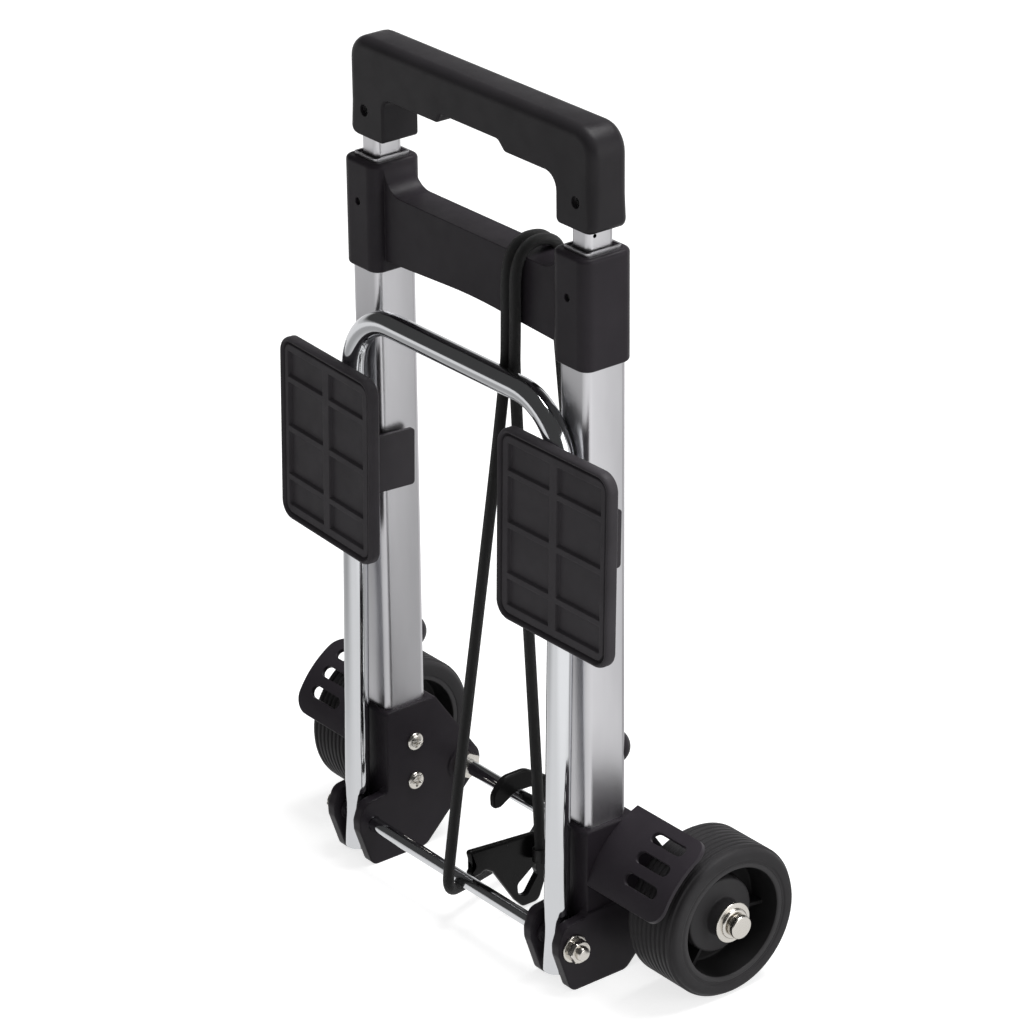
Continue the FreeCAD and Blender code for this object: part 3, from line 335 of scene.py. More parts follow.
WELD = 0.002 * MM       # points nearer than this are made one
SHARP = 32.0            # edges that turn more than this, in degrees, stay sharp
FACE_MARGIN = 0.3       # flat ring inside a plate's rounded edge


def close_up(points, faces, name):
    """A mesh from points in millimetres: neighbours welded, every face turned outwards."""
    mesh = bpy.data.meshes.new(name)
    mesh.from_pydata((np.concatenate(points) * MM).tolist(), [], faces)
    work = bmesh.new()
    work.from_mesh(mesh)
    bmesh.ops.remove_doubles(work, verts=work.verts, dist=WELD)
    bmesh.ops.recalc_face_normals(work, faces=work.faces)
    work.to_mesh(mesh)
    work.free()
    return mesh


class Shell:
    """Collects surfaces worked out on grids, in millimetres, and makes one closed mesh of them."""

    def __init__(self):
        self.points = []
        self.faces = []
        self.count = 0

    def keep(self, points, faces):
        """Adds points and the faces that number them."""
        self.points.append(points.reshape(-1, 3))
        self.faces += (faces + self.count).tolist()
        self.count += points.reshape(-1, 3).shape[0]

    def grid(self, points, wrap_u=False, wrap_v=False):
        """Quads between the neighbours of a grid of points, joined round where it wraps."""
        index = np.arange(points.shape[0] * points.shape[1]).reshape(points.shape[:2])
        index = np.append(index, index[:1], 0) if wrap_u else index
        index = np.append(index, index[:, :1], 1) if wrap_v else index
        corners = (index[:-1, :-1], index[1:, :-1], index[1:, 1:], index[:-1, 1:])
        self.keep(points, np.stack(corners, -1).reshape(-1, 4))

    def cap(self, loop):
        """One flat face inside a loop."""
        self.keep(loop, np.arange(len(loop))[None, :])

    def column(self, rings):
        """Rings of one length carried one after another, and a flat face inside each end ring."""
        self.grid(rings, wrap_v=True)
        self.cap(rings[0])
        self.cap(rings[-1])

    def piece(self, name, finish, body, slot, nodes, sharp=SHARP):
        """The closed mesh, on its body and in the place of its nodes."""
        mesh = close_up(self.points, self.faces, name)
        mesh.shade_smooth()
        mesh.set_sharp_from_angle(angle=math.radians(sharp))
        made = put(name, mesh)
        paint(made, finish)
        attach(made, body)
        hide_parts(*nodes)
        return made


def rounded(corners, closed=True, steps=5):
    """A line through (a, b, radius) corners, each replaced by an arc tangent to both its runs."""
    points = []
    count = len(corners)
    for k, (a, b, radius) in enumerate(corners):
        corner = np.array((a, b), float)
        if radius == 0 or (not closed and k in (0, count - 1)):
            points.append(corner[None])
            continue
        before = np.array(corners[k - 1][:2]) - corner
        after = np.array(corners[(k + 1) % count][:2]) - corner
        before /= np.linalg.norm(before)
        after /= np.linalg.norm(after)
        half = math.acos(np.clip(before @ after, -1, 1)) / 2
        between = (before + after) / np.linalg.norm(before + after)
        centre = corner + between * radius / math.sin(half)
        start = corner + before * radius / math.tan(half) - centre
        end = corner + after * radius / math.tan(half) - centre
        turn = math.atan2(start[0] * end[1] - start[1] * end[0], start @ end)
        angle = math.atan2(start[1], start[0]) + turn * np.linspace(0, 1, steps + 1)
        points.append(centre + radius * np.stack([np.cos(angle), np.sin(angle)], -1))
    return np.concatenate(points)


def lathe(shell, profile, centre, side, steps, grow=None):
    """Turns a profile of (along, radius) about the X line through centre; grow(angle, radius) may
    make the radius depend on the angle, as a nut's does."""
    angle = np.linspace(0, 2 * math.pi, steps, endpoint=False)[:, None]
    along, radius = profile[None, :, 0], profile[None, :, 1]
    reach = radius + 0 * angle if grow is None else grow(angle, radius)
    points = np.stack(np.broadcast_arrays(
        side * along, centre[0] + reach * np.cos(angle), centre[1] + reach * np.sin(angle)), -1)
    shell.grid(points, wrap_u=True)


def plate(shell, outline, start, end, edge=0.0, square_to="X"):
    """A plate between two planes from an outline of two coordinates, its edges rounded by
    stepping the outline in along its own normals while it goes to the face; edge may differ
    point by point."""
    ahead = np.roll(outline, -1, 0) - outline
    ahead /= np.linalg.norm(ahead, axis=1)[:, None]
    tangent = ahead + np.roll(ahead, 1, 0)
    tangent /= np.linalg.norm(tangent, axis=1)[:, None]
    a, b = outline.T
    area = np.sum(a * np.roll(b, -1) - np.roll(a, -1) * b)
    inward = np.stack([-tangent[:, 1], tangent[:, 0]], -1) * np.sign(area)
    edge = np.broadcast_to(edge, len(outline))[:, None]
    steps = [(edge + FACE_MARGIN, 0 * edge)]
    steps += [(edge * (1 - math.sin(turn)), edge * (1 - math.cos(turn)))
              for turn in np.linspace(0, math.pi / 2, 7)]
    rings = [(start + deep, inset) for inset, deep in steps]
    rings += [(end - deep, inset) for inset, deep in steps[::-1]]
    order = [0, 1, 2] if square_to == "X" else [1, 0, 2]
    shell.column(np.stack([np.column_stack([along, outline + inward * inset])[:, order]
                           for along, inset in rings]))


def block(shell, x0, x1, y0, y1, z0, z1):
    """A plain cutter or hidden bar."""
    loop = np.array([(y0, z0), (y1, z0), (y1, z1), (y0, z1)], float)
    shell.column(np.stack([np.column_stack([np.full(4, x), loop]) for x in (x0, x1)]))


def both_sides(make):
    """Makes the right piece, then the left one."""
    for side, word in ((1, "right"), (-1, "left")):
        make(side, word)


# ---- elastic cord ---------------------------------------------------------------------------

CORD_D = 5.0 * MM
# x, y from the tubes' centre plane, and z, in millimetres
CORD_ROUTE = [
    (-16.4, 41.4, 25.5), (-15.6, 42.5, 11.0), (-1.5, -16.5, 12.4), (4.6, -28.6, 16.6),
    (4.6, -28.4, 29.0), (22.8, -7.6, 262.0), (28.0, -11.1, 289.0), (29.5, -11.9, 325.9),
    (29.5, 12.1, 325.9), (29.7, 12.9, 302.0), (29.0, 37.6, 40.0), (30.0, 37.0, 26.4),
    (31.5, 22.0, 26.4), (32.5, 21.0, 42.0), (35.2, 12.9, 300.0), (35.2, 12.1, 325.9),
    (35.2, -11.9, 325.9), (33.6, -11.1, 289.0), (28.3, -7.6, 262.0), (17.4, 12.8, 44.0),
    (19.0, 11.8, 24.0),
]


def make_cord():
    """One smooth spline from the hook on the axle to the hook plate on the pivot rod."""
    line = bpy.data.curves.new("elastic_cord_line", "CURVE")
    line.dimensions = "3D"
    line.bevel_depth = CORD_D / 2
    line.bevel_resolution = 6
    line.resolution_u = 24
    line.use_fill_caps = True
    spline = line.splines.new("NURBS")
    spline.points.add(len(CORD_ROUTE) - 1)
    for point, (x, y, z) in zip(spline.points, CORD_ROUTE):
        point.co = (x * MM, TUBE_Y + y * MM, z * MM, 1.0)
    spline.order_u = 3
    spline.use_endpoint_u = True
    cord = put("cord_sleeve", line)
    paint(cord, SLEEVE)
    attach(cord, "root")
    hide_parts("elastic_cord")


make_cord()


# ---- wheels ---------------------------------------------------------------------------------

WHEEL_LOW, WHEEL_HIGH = box_mm("tyre_right")
WHEEL_R = (WHEEL_HIGH.z - WHEEL_LOW.z) / 2
WHEEL_IN, WHEEL_OUT = WHEEL_LOW.x, WHEEL_HIGH.x
RIM_R = WHEEL_R - 7.6
TREAD_RIBS, TREAD_DEPTH, TREAD_EDGE = 9, 1.0, 0.9       # the edge lies lower than the ribs
TYRE_SHOULDER = 2.2
HUB_RIBS = (-6.0, 114.0, 234.0)     # bearings of the thin ribs, in degrees


def make_tyre(side, word):
    """A ring turned about the axle: flat walls, round shoulders and a tread of even ribs whose
    radius is a raised cosine of the distance along the axle, flattened on top."""
    shoulder, edge_r = TYRE_SHOULDER, WHEEL_R - TREAD_EDGE
    along = np.linspace(WHEEL_IN + shoulder, WHEEL_OUT - shoulder, TREAD_RIBS * 12 + 1)
    wave = np.cos(2 * math.pi * TREAD_RIBS * (along - along[0]) / (along[-1] - along[0]))
    tread = np.column_stack([along, WHEEL_R - TREAD_DEPTH * np.clip(wave - 0.25, 0, 1) ** 0.7])
    turn = np.linspace(0, math.pi / 2, 7)
    first = np.column_stack([WHEEL_IN + shoulder * (1 - np.cos(turn)),
                             edge_r - shoulder * (1 - np.sin(turn))])
    last = np.column_stack([WHEEL_OUT - shoulder * (1 - np.sin(turn)),
                            edge_r - shoulder * (1 - np.cos(turn))])
    wall = [(WHEEL_OUT, RIM_R + 1.9), (WHEEL_OUT - 0.1, RIM_R + 1.6),
            (WHEEL_OUT - 0.4, RIM_R + 1.4), (WHEEL_OUT - 0.45, RIM_R),
            (WHEEL_IN + 0.2, RIM_R), (WHEEL_IN, RIM_R + 0.4)]
    shell = Shell()
    profile = np.concatenate([first, tread, last, wall, first[:1]])
    lathe(shell, profile, AXLE, side, 128)
    shell.piece("ribbed_tyre_" + word, TYRE_PLASTIC, "wheel_" + word, "grey_tyre",
                ["tyre_" + word], sharp=50.0)


def make_hub(side, word):
    """Rim, dished disc and boss turned in one profile, with three thin ribs from disc to rim."""
    face = WHEEL_OUT - 0.45
    disc_x, deep_x = WHEEL_OUT - 9.0, WHEEL_OUT - 16.5
    disc_r, inside_r, boss_r, bore_r = 17.0, 25.2, 7.6, 3.5
    boss_x, inner_x, inner_deep_x = WHEEL_OUT - 1.9, WHEEL_IN + 0.1, WHEEL_IN + 12.0
    profile = rounded([
        (face, RIM_R, 0), (face, inside_r, 0.9), (deep_x, inside_r - 1.0, 1.0),
        (deep_x, disc_r + 0.6, 1.0), (disc_x, disc_r, 1.0), (disc_x + 0.8, boss_r + 0.8, 1.0),
        (boss_x, boss_r, 0.8), (boss_x, bore_r, 0), (inner_x, bore_r, 0), (inner_x, boss_r, 0.6),
        (inner_deep_x, boss_r + 1.0, 0.8), (inner_deep_x, inside_r - 1.0, 0.8),
        (WHEEL_IN + 0.3, inside_r, 0.6), (WHEEL_IN + 0.3, RIM_R, 0),
    ], steps=4)
    shell = Shell()
    lathe(shell, np.append(profile, profile[:1], 0), AXLE, side, 128)
    for degrees in HUB_RIBS:
        rib = rounded([(disc_x - 0.8, disc_r - 2, 0), (disc_x - 0.8, inside_r + 0.6, 0.3),
                       (deep_x - 0.5, inside_r + 0.6, 0.3), (deep_x - 0.5, disc_r - 2, 0)])
        a = math.radians(degrees)
        rings = [np.column_stack([
            side * rib[:, 0], AXLE[0] + rib[:, 1] * math.cos(a) - across * math.sin(a),
            AXLE[1] + rib[:, 1] * math.sin(a) + across * math.cos(a)]) for across in (-0.8, 0.8)]
        shell.column(np.stack(rings))
    shell.piece("dished_hub_" + word, HUB_PLASTIC, "wheel_" + word, "hub_plastic",
                ["wheel_hub_" + word, "wheel_bush_" + word])


def make_axle_ends():
    """Turned parts on the axle: a dished washer, a round-edged collar and a cap behind a narrow
    neck outside each wheel, and a plain washer inside it."""
    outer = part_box("axle_caps")[1].x / MM
    profile = rounded([
        (outer - 6.8, 3.4, 0), (outer - 6.8, 9.3, 0.5), (outer - 5.7, 9.3, 0.5),
        (outer - 5.5, 7.0, 0), (outer - 4.1, 6.9, 1.1), (outer - 4.1, 4.5, 0),
        (outer - 3.4, 4.5, 0), (outer - 3.4, 5.35, 0.3), (outer, 5.35, 0.8), (outer, 0.0, 0),
    ], closed=False)
    washer = rounded([(WHEEL_IN - 1.5, 3.4, 0), (WHEEL_IN - 1.5, 8.3, 0.4),
                      (WHEEL_IN - 0.4, 8.3, 0.4), (WHEEL_IN - 0.4, 3.4, 0)], closed=False)
    shell = Shell()
    for side in (1, -1):
        lathe(shell, np.append(profile, [(outer - 6.8, 0.0)], 0)[::-1], AXLE, side, 72)
        lathe(shell, np.append(washer, washer[:1], 0), AXLE, side, 72)
    shell.piece("axle_end_fittings", PLATE, "root", "chrome", ["axle_washers", "axle_caps"])


# ---- pivot rod's ends -----------------------------------------------------------------------

NUT_FLAT = 4.7      # from the nut's middle to a flat
NUT_BORE = 3.6      # the profile's rings inside this stay round


def hexagonal(angle, radius):
    """A six-sided reach: the flat's distance over the cosine of the angle from its middle, but
    never past the round that the profile gives."""
    turn = np.mod(angle, math.pi / 3) - math.pi / 6
    return np.where(radius > NUT_BORE, np.minimum(radius, NUT_FLAT / np.cos(turn)), radius)


def make_pivot_ends():
    """A washer, a six-sided nut with turned-down corners and the rod's domed end, on each side."""
    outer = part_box("pivot_nuts")[1].x / MM
    washer_x = outer - 9.0
    washer = rounded([(washer_x, 3.3, 0), (washer_x, 6.3, 0.4), (washer_x + 1.2, 6.3, 0.4),
                      (washer_x + 1.2, 3.3, 0)], closed=False)
    nut_x = washer_x + 1.25
    nut = rounded([(nut_x, 3.3, 0), (nut_x, 4.9, 0), (nut_x + 0.5, 5.42, 0), (nut_x + 3.4, 5.42, 0),
                   (nut_x + 4.0, 4.8, 0), (nut_x + 4.1, 3.3, 0)], closed=False)
    end = rounded([(nut_x, 3.2, 0), (nut_x + 6.4, 3.2, 1.3), (nut_x + 6.9, 0.0, 0)], closed=False)
    shell = Shell()
    for side in (1, -1):
        lathe(shell, np.append(washer, washer[:1], 0), PIVOT, side, 60)
        lathe(shell, np.append(nut, nut[:1], 0), PIVOT, side, 96, hexagonal)
        lathe(shell, np.append([(nut_x, 0.0)], end, 0), PIVOT, side, 60)
    shell.piece("pivot_end_fittings", PLATE, "root", "chrome", ["pivot_washers", "pivot_nuts"])


# ---- screws ---------------------------------------------------------------------------------

HEAD_INSET = 4.3        # the bracket's screws lie this far inside their node's box
HEAD_TURN = (0, 0.26, 0.966)
GRIP_SCREW_TURN = (0.5, 0, 0.866)


def cross_head(shell, centre, normal, up, radius, dome, recess):
    """A low domed disc on a polar grid whose height drops in a cross: where the lesser of the two
    in-plane distances is under the blade's half width and the greater under its half length."""
    normal, up = np.array(normal, float), np.array(up, float)
    across = np.cross(up, normal)
    reach = np.linspace(0, 1, 22)[None, :]
    angle = np.linspace(0, 2 * math.pi, 72, endpoint=False)[:, None]
    a, b = radius * reach * np.cos(angle), radius * reach * np.sin(angle)
    narrow, wide = np.minimum(abs(a), abs(b)), np.maximum(abs(a), abs(b))
    blade = np.clip((0.16 * radius - narrow) / (0.07 * radius), 0, 1)
    cut = blade * np.clip((0.60 * radius - wide) / (0.2 * radius), 0, 1)
    height = dome * np.sqrt(np.clip(1 - 0.98 * reach ** 3, 0, 1)) - recess * cut
    top = centre + a[..., None] * across + b[..., None] * up + height[..., None] * normal
    shell.grid(top, wrap_u=True)
    foot = top[:, -1] - (top[:, -1] - centre) @ normal[:, None] * normal
    shell.grid(np.stack([top[:, -1], foot]), wrap_v=True)
    shell.cap(foot)


def make_bracket_screws():
    """Two domed cross-head screws on each foot bracket's inner face."""
    low, high = box_mm("bracket_screws")
    y = (low.y + high.y) / 2
    bracket_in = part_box("lower_bracket_right")[0].x / MM + 0.6
    socket_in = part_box("upright_right")[0].x / MM - 2.6
    shell = Shell()
    for side in (1, -1):
        for x, z in ((bracket_in, low.z + HEAD_INSET), (socket_in, high.z - HEAD_INSET)):
            cross_head(shell, np.array((side * x, y, z)), (-side, 0, 0), HEAD_TURN,
                       radius=4.3, dome=1.75, recess=1.1)
    shell.piece("bracket_screw_heads", PLATE, "root", "zinc", ["bracket_screws"], sharp=40.0)


def make_grip_screws():
    """A dark cross-head screw sunk in each of the grip's screw holes."""
    low, high = box_mm("handle_screws")
    shell = Shell()
    for side in (1, -1):
        place = np.array((side * (high.x - 3.0), low.y + 2.3, (low.z + high.z) / 2))
        cross_head(shell, place, (0, -1, 0), GRIP_SCREW_TURN, radius=2.5, dome=0.6, recess=0.5)
    shell.piece("sunk_grip_screws", SCREW, GRIP_BODY, "dark_steel", ["handle_screws"],
                sharp=40.0)


# ---- grip -----------------------------------------------------------------------------------

GRIP_LOW, GRIP_HIGH = box_mm("handle_front")
GRIP_FRONT, GRIP_BACK = GRIP_LOW.y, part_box("handle_back")[1].y / MM
GRIP_FOOT, GRIP_TOP, GRIP_OUT = GRIP_LOW.z, GRIP_HIGH.z, GRIP_HIGH.x
BAR_FOOT = GRIP_TOP - 23.9
SCOOP_TOP = BAR_FOOT + 4.3
LEG_IN = GRIP_OUT - 23.9
EDGE_R, EDGE_SWELL = 1.0, 3.6       # round the opening, and what the outside adds
HOLE_X, HOLE_RISE, HOLE_R, HOLE_DEEP = 70.4, 12.0, 2.6, 2.4     # for the screws
BAR_HALF = 18.6                     # the squeeze bar, and next its crosspiece
CROSS_FOOT, CROSS_TOP, CROSS_HALF = 370.1, 374.0, 72.4


def cut_away(piece, cutters):
    """Takes closed cutters out of a piece for good, one after another."""
    for cutter in cutters:
        mesh = close_up(cutter.points, cutter.faces, "cutter")
        tool = put("cutter", mesh)
        cut = piece.modifiers.new("cut", "BOOLEAN")
        cut.operation = "DIFFERENCE"
        cut.object = tool
        cut.solver = "EXACT"
        seen = piece.evaluated_get(bpy.context.evaluated_depsgraph_get())
        old, piece.data = piece.data, bpy.data.meshes.new_from_object(seen)
        piece.modifiers.clear()
        bpy.data.objects.remove(tool)
        bpy.data.meshes.remove(mesh)
        name = old.name
        bpy.data.meshes.remove(old)
        piece.data.name = name


def make_grip():
    """A U outline with round corners and a finger scoop below, swept to a plate whose outer edges
    are far rounder than those round the opening; hollow for the squeeze bar."""
    out, foot, leg = GRIP_OUT, GRIP_FOOT, LEG_IN
    outline = rounded([
        (-out, foot, 3.5), (-out, GRIP_TOP, 10.5), (out, GRIP_TOP, 12.0), (out, foot, 4.5),
        (leg, foot, 2.5), (leg, BAR_FOOT, 7.0), (24.5, BAR_FOOT, 3.0), (20.0, SCOOP_TOP, 3.5),
        (-18.0, SCOOP_TOP, 2.0), (-20.6, BAR_FOOT, 1.2), (-leg, BAR_FOOT, 5.0), (-leg, foot, 2.0),
    ], steps=8)
    rows = [np.linspace(a, b, 9)[:-1] if np.linalg.norm(b - a) > 12 else a[None]
            for a, b in zip(outline, np.roll(outline, -1, 0))]
    outline = np.concatenate(rows)
    x, z = abs(outline[:, 0]), outline[:, 1]
    outer = np.clip(np.maximum((x - (out - 6)) / 6, (z - (BAR_FOOT + 6)) / 4), 0, 1)
    near_foot = 0.6 + 0.4 * np.clip((z - foot) / 14, 0, 1)
    edge = EDGE_R + EDGE_SWELL * outer * outer * (3 - 2 * outer) * near_foot
    shell = Shell()
    plate(shell, outline, GRIP_FRONT, GRIP_BACK, edge, "Y")
    made = shell.piece("moulded_grip", GRIP_PLASTIC, GRIP_BODY, "black_plastic",
                       ["handle_front", "handle_back"])
    mid_y = TUBE_Y / MM
    hollow, roof, window = Shell(), Shell(), Shell()
    block(hollow, -73.0, 73.0, mid_y - 5.3, mid_y + 5.3, SCOOP_TOP + 1.7, GRIP_TOP - 8.0)
    block(roof, -60.0, 60.0, mid_y - 5.2, mid_y + 5.2, GRIP_TOP - 9.0, GRIP_TOP - 3.0)
    block(window, -19.0, 19.0, mid_y - 5.3, mid_y + 5.3, SCOOP_TOP - 3.0, SCOOP_TOP + 3.0)
    holes = []
    for side in (1, -1):
        hole = Shell()
        turn = np.linspace(0, 2 * math.pi, 48, endpoint=False)
        ring = np.column_stack([side * HOLE_X + HOLE_R * np.cos(turn), 0 * turn,
                                foot + HOLE_RISE + HOLE_R * np.sin(turn)])
        hole.column(np.stack([ring + (0, GRIP_FRONT - 2, 0),
                              ring + (0, GRIP_FRONT + HOLE_DEEP, 0)]))
        holes.append(hole)
    cut_away(made, [hollow, roof, window] + holes)
    made.data.set_sharp_from_angle(angle=math.radians(SHARP))


def make_squeeze_bar():
    """The bar that the fingers draw up into the grip, flush in the scoop, and its hidden
    crosspiece."""
    mid_y, foot = TUBE_Y / MM, SCOOP_TOP - 0.9
    shell = Shell()
    loop = rounded([(-BAR_HALF, foot, 1.5), (BAR_HALF, foot, 1.5), (BAR_HALF, CROSS_TOP, 0),
                    (-BAR_HALF, CROSS_TOP, 0)])
    plate(shell, loop, mid_y - 5.0, mid_y + 5.0, 0.5, "Y")
    block(shell, -CROSS_HALF, CROSS_HALF, mid_y - 3.0, mid_y + 3.0, CROSS_FOOT, CROSS_TOP)
    shell.piece("squeeze_bar", GRIP_PLASTIC, "squeeze_release", "black_plastic",
                ["release_trigger"])


def make_springs():
    """Two strips folded to and fro over the squeeze bar's crosspiece."""
    low, high = box_mm("trigger_springs")
    leaf, travel, mid_y = 0.5, 4.0, (low.y + high.y) / 2
    shell = Shell()
    for side in (1, -1):
        levels = np.repeat(np.linspace(low.z + leaf / 2, high.z - leaf / 2, 7), 2)
        across = side * (high.x - 3.0) + 2.7 * np.array([-1, 1, 1, -1] * 4)[:14]
        line = rounded([(x, z, 0.5) for x, z in zip(across, levels)], closed=False)
        loop = np.concatenate([line + (0, leaf / 2), (line - (0, leaf / 2))[::-1]])
        shell.column(np.stack([np.column_stack([loop[:, 0], np.full(len(loop), y), loop[:, 1]])
                               for y in (mid_y - 2.0, mid_y + 2.0)]))
    made = shell.piece("folded_springs", PLATE, GRIP_BODY, "zinc", ["trigger_springs"])
    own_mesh(made)


# ---- bushes in the middle tubes' tops -------------------------------------------------------

BUSH_DEPTH = 13.0
TUBE_WALL, BUSH_GAP = 0.95, 0.15    # the middle tube's wall, and the inner tube's play


def box_loop(half_x, half_y, radius, centre):
    """A rectangle with round corners, as a loop of (x, y)."""
    loop = rounded([(half_x, -half_y, radius), (half_x, half_y, radius),
                    (-half_x, half_y, radius), (-half_x, -half_y, radius)], steps=8)
    return loop + centre


def make_bush(side, word):
    """A ring between the middle and inner tubes, just under the rim, its mouth sloping inwards."""
    low, high = box_mm("mid_tube_" + word)
    inner_low, inner_high = box_mm("inner_tube_" + word)
    centre = ((low.x + high.x) / 2, (low.y + high.y) / 2)
    out_x, out_y = (high.x - low.x) / 2 - TUBE_WALL, (high.y - low.y) / 2 - TUBE_WALL
    in_x = (inner_high.x - inner_low.x) / 2 + BUSH_GAP
    in_y = (inner_high.y - inner_low.y) / 2 + BUSH_GAP
    rings = []
    for x, y, radius, drop in (
            (out_x, out_y, 1.0, BUSH_DEPTH), (out_x, out_y, 1.0, 0.35),
            (in_x + 0.5, in_y + 0.5, 2.9, 0.5), (in_x, in_y, 2.6, 1.1),
            (in_x, in_y, 2.6, BUSH_DEPTH)):
        loop = box_loop(x, y, radius, centre)
        rings.append(np.column_stack([loop, np.full(len(loop), high.z - drop)]))
    shell = Shell()
    shell.grid(np.stack(rings), wrap_u=True, wrap_v=True)
    shell.piece("tube_bush_" + word, BRACKET_PLASTIC, MID_BODY, "black_plastic",
                ["mid_bush_" + word])


# ---- foot pads ------------------------------------------------------------------------------

LEG_X, LEG_R, LEAN = 71.2, 5.53, math.radians(1.2)
CLIP_GAP = 0.35
PAD_HALF_W, PAD_HALF_H, PAD_CORNER, PAD_T = 36.15, 43.5, 8.0, 6.0
PAD_OUT = 6.9           # from the leg to the pad's middle
PAD_BACK = -(LEG_R + CLIP_GAP)
PAD_PLACES = {"right": (210.6, 0.5), "left": (199.9, 3.6)}     # height, and turn in degrees
ARM_X, ARM_THICK = (-13.5, 10.1), 1.8       # the fork's arms, from the leg
PAD_ROWS = ((-36.6, -24.4), (-21.9, -1.3), (1.3, 22.2), (24.7, 36.9))
PAD_COLUMNS = ((-29.4, -2.3), (2.3, 30.4))
RIM_PROFILE = [     # from the outline inwards, and depth
    (0.0, 2.3), (0.2, 1.5), (0.5, 0.95), (0.9, 0.6), (1.3, 0.5), (1.7, 0.65), (2.05, 1.2),
    (2.35, 2.3), (2.6, 2.6), (2.9, 2.5), (3.15, 1.8), (3.5, 1.4), (60.0, 1.4),
]
POCKET_DEPTH, POCKET_SLOPE = 1.6, 0.7


def spaced(half, bands):
    """Grid lines from -half to half: close together at the rim and at each pocket's edges."""
    rim = np.array([a for a, _ in RIM_PROFILE[:-1]] + [4.5, 5.7, 7.0, PAD_CORNER])
    across = POCKET_SLOPE * np.array([-1, -0.66, -0.33, 0, 0.33, 0.66, 1])
    edges = np.array(bands).ravel()[:, None] + across
    wide = np.linspace(-half + PAD_CORNER, half - PAD_CORNER, 15)
    lines = np.concatenate([rim - half, half - rim, edges.ravel(), wide])
    return np.unique(np.round(lines, 3))


def round_corners(x, z):
    """Carries the square corners of a grid onto quarter discs; also gives each point's distance
    from the outline."""
    straight_x, straight_z = PAD_HALF_W - PAD_CORNER, PAD_HALF_H - PAD_CORNER
    p = np.clip(abs(x) - straight_x, 0, None) / PAD_CORNER
    q = np.clip(abs(z) - straight_z, 0, None) / PAD_CORNER
    reach = np.maximum(p, q)
    least = np.maximum(reach, 1e-9)
    turn = np.where(p >= q, q / least, 2 - p / least) * math.pi / 4
    turned_x = np.minimum(abs(x), straight_x) + PAD_CORNER * reach * np.cos(turn)
    turned_z = np.minimum(abs(z), straight_z) + PAD_CORNER * reach * np.sin(turn)
    return (np.where(p > 0, np.sign(x) * turned_x, x), np.where(q > 0, np.sign(z) * turned_z, z),
            np.where(reach > 0, PAD_CORNER * (1 - reach), 2 * PAD_CORNER))


def pad_relief(x, z, from_rim):
    """Depth behind the foremost plane: the rim's profile, plus a smooth step down into each
    pocket."""
    depth = np.interp(from_rim, *zip(*RIM_PROFILE))
    for left, right in PAD_COLUMNS:
        for low, high in PAD_ROWS:
            inside = np.minimum(np.minimum(x - left, right - x), np.minimum(z - low, high - z))
            step = np.clip(inside / POCKET_SLOPE, 0, 1)
            depth = depth + POCKET_DEPTH * step * step * (3 - 2 * step)
    return depth


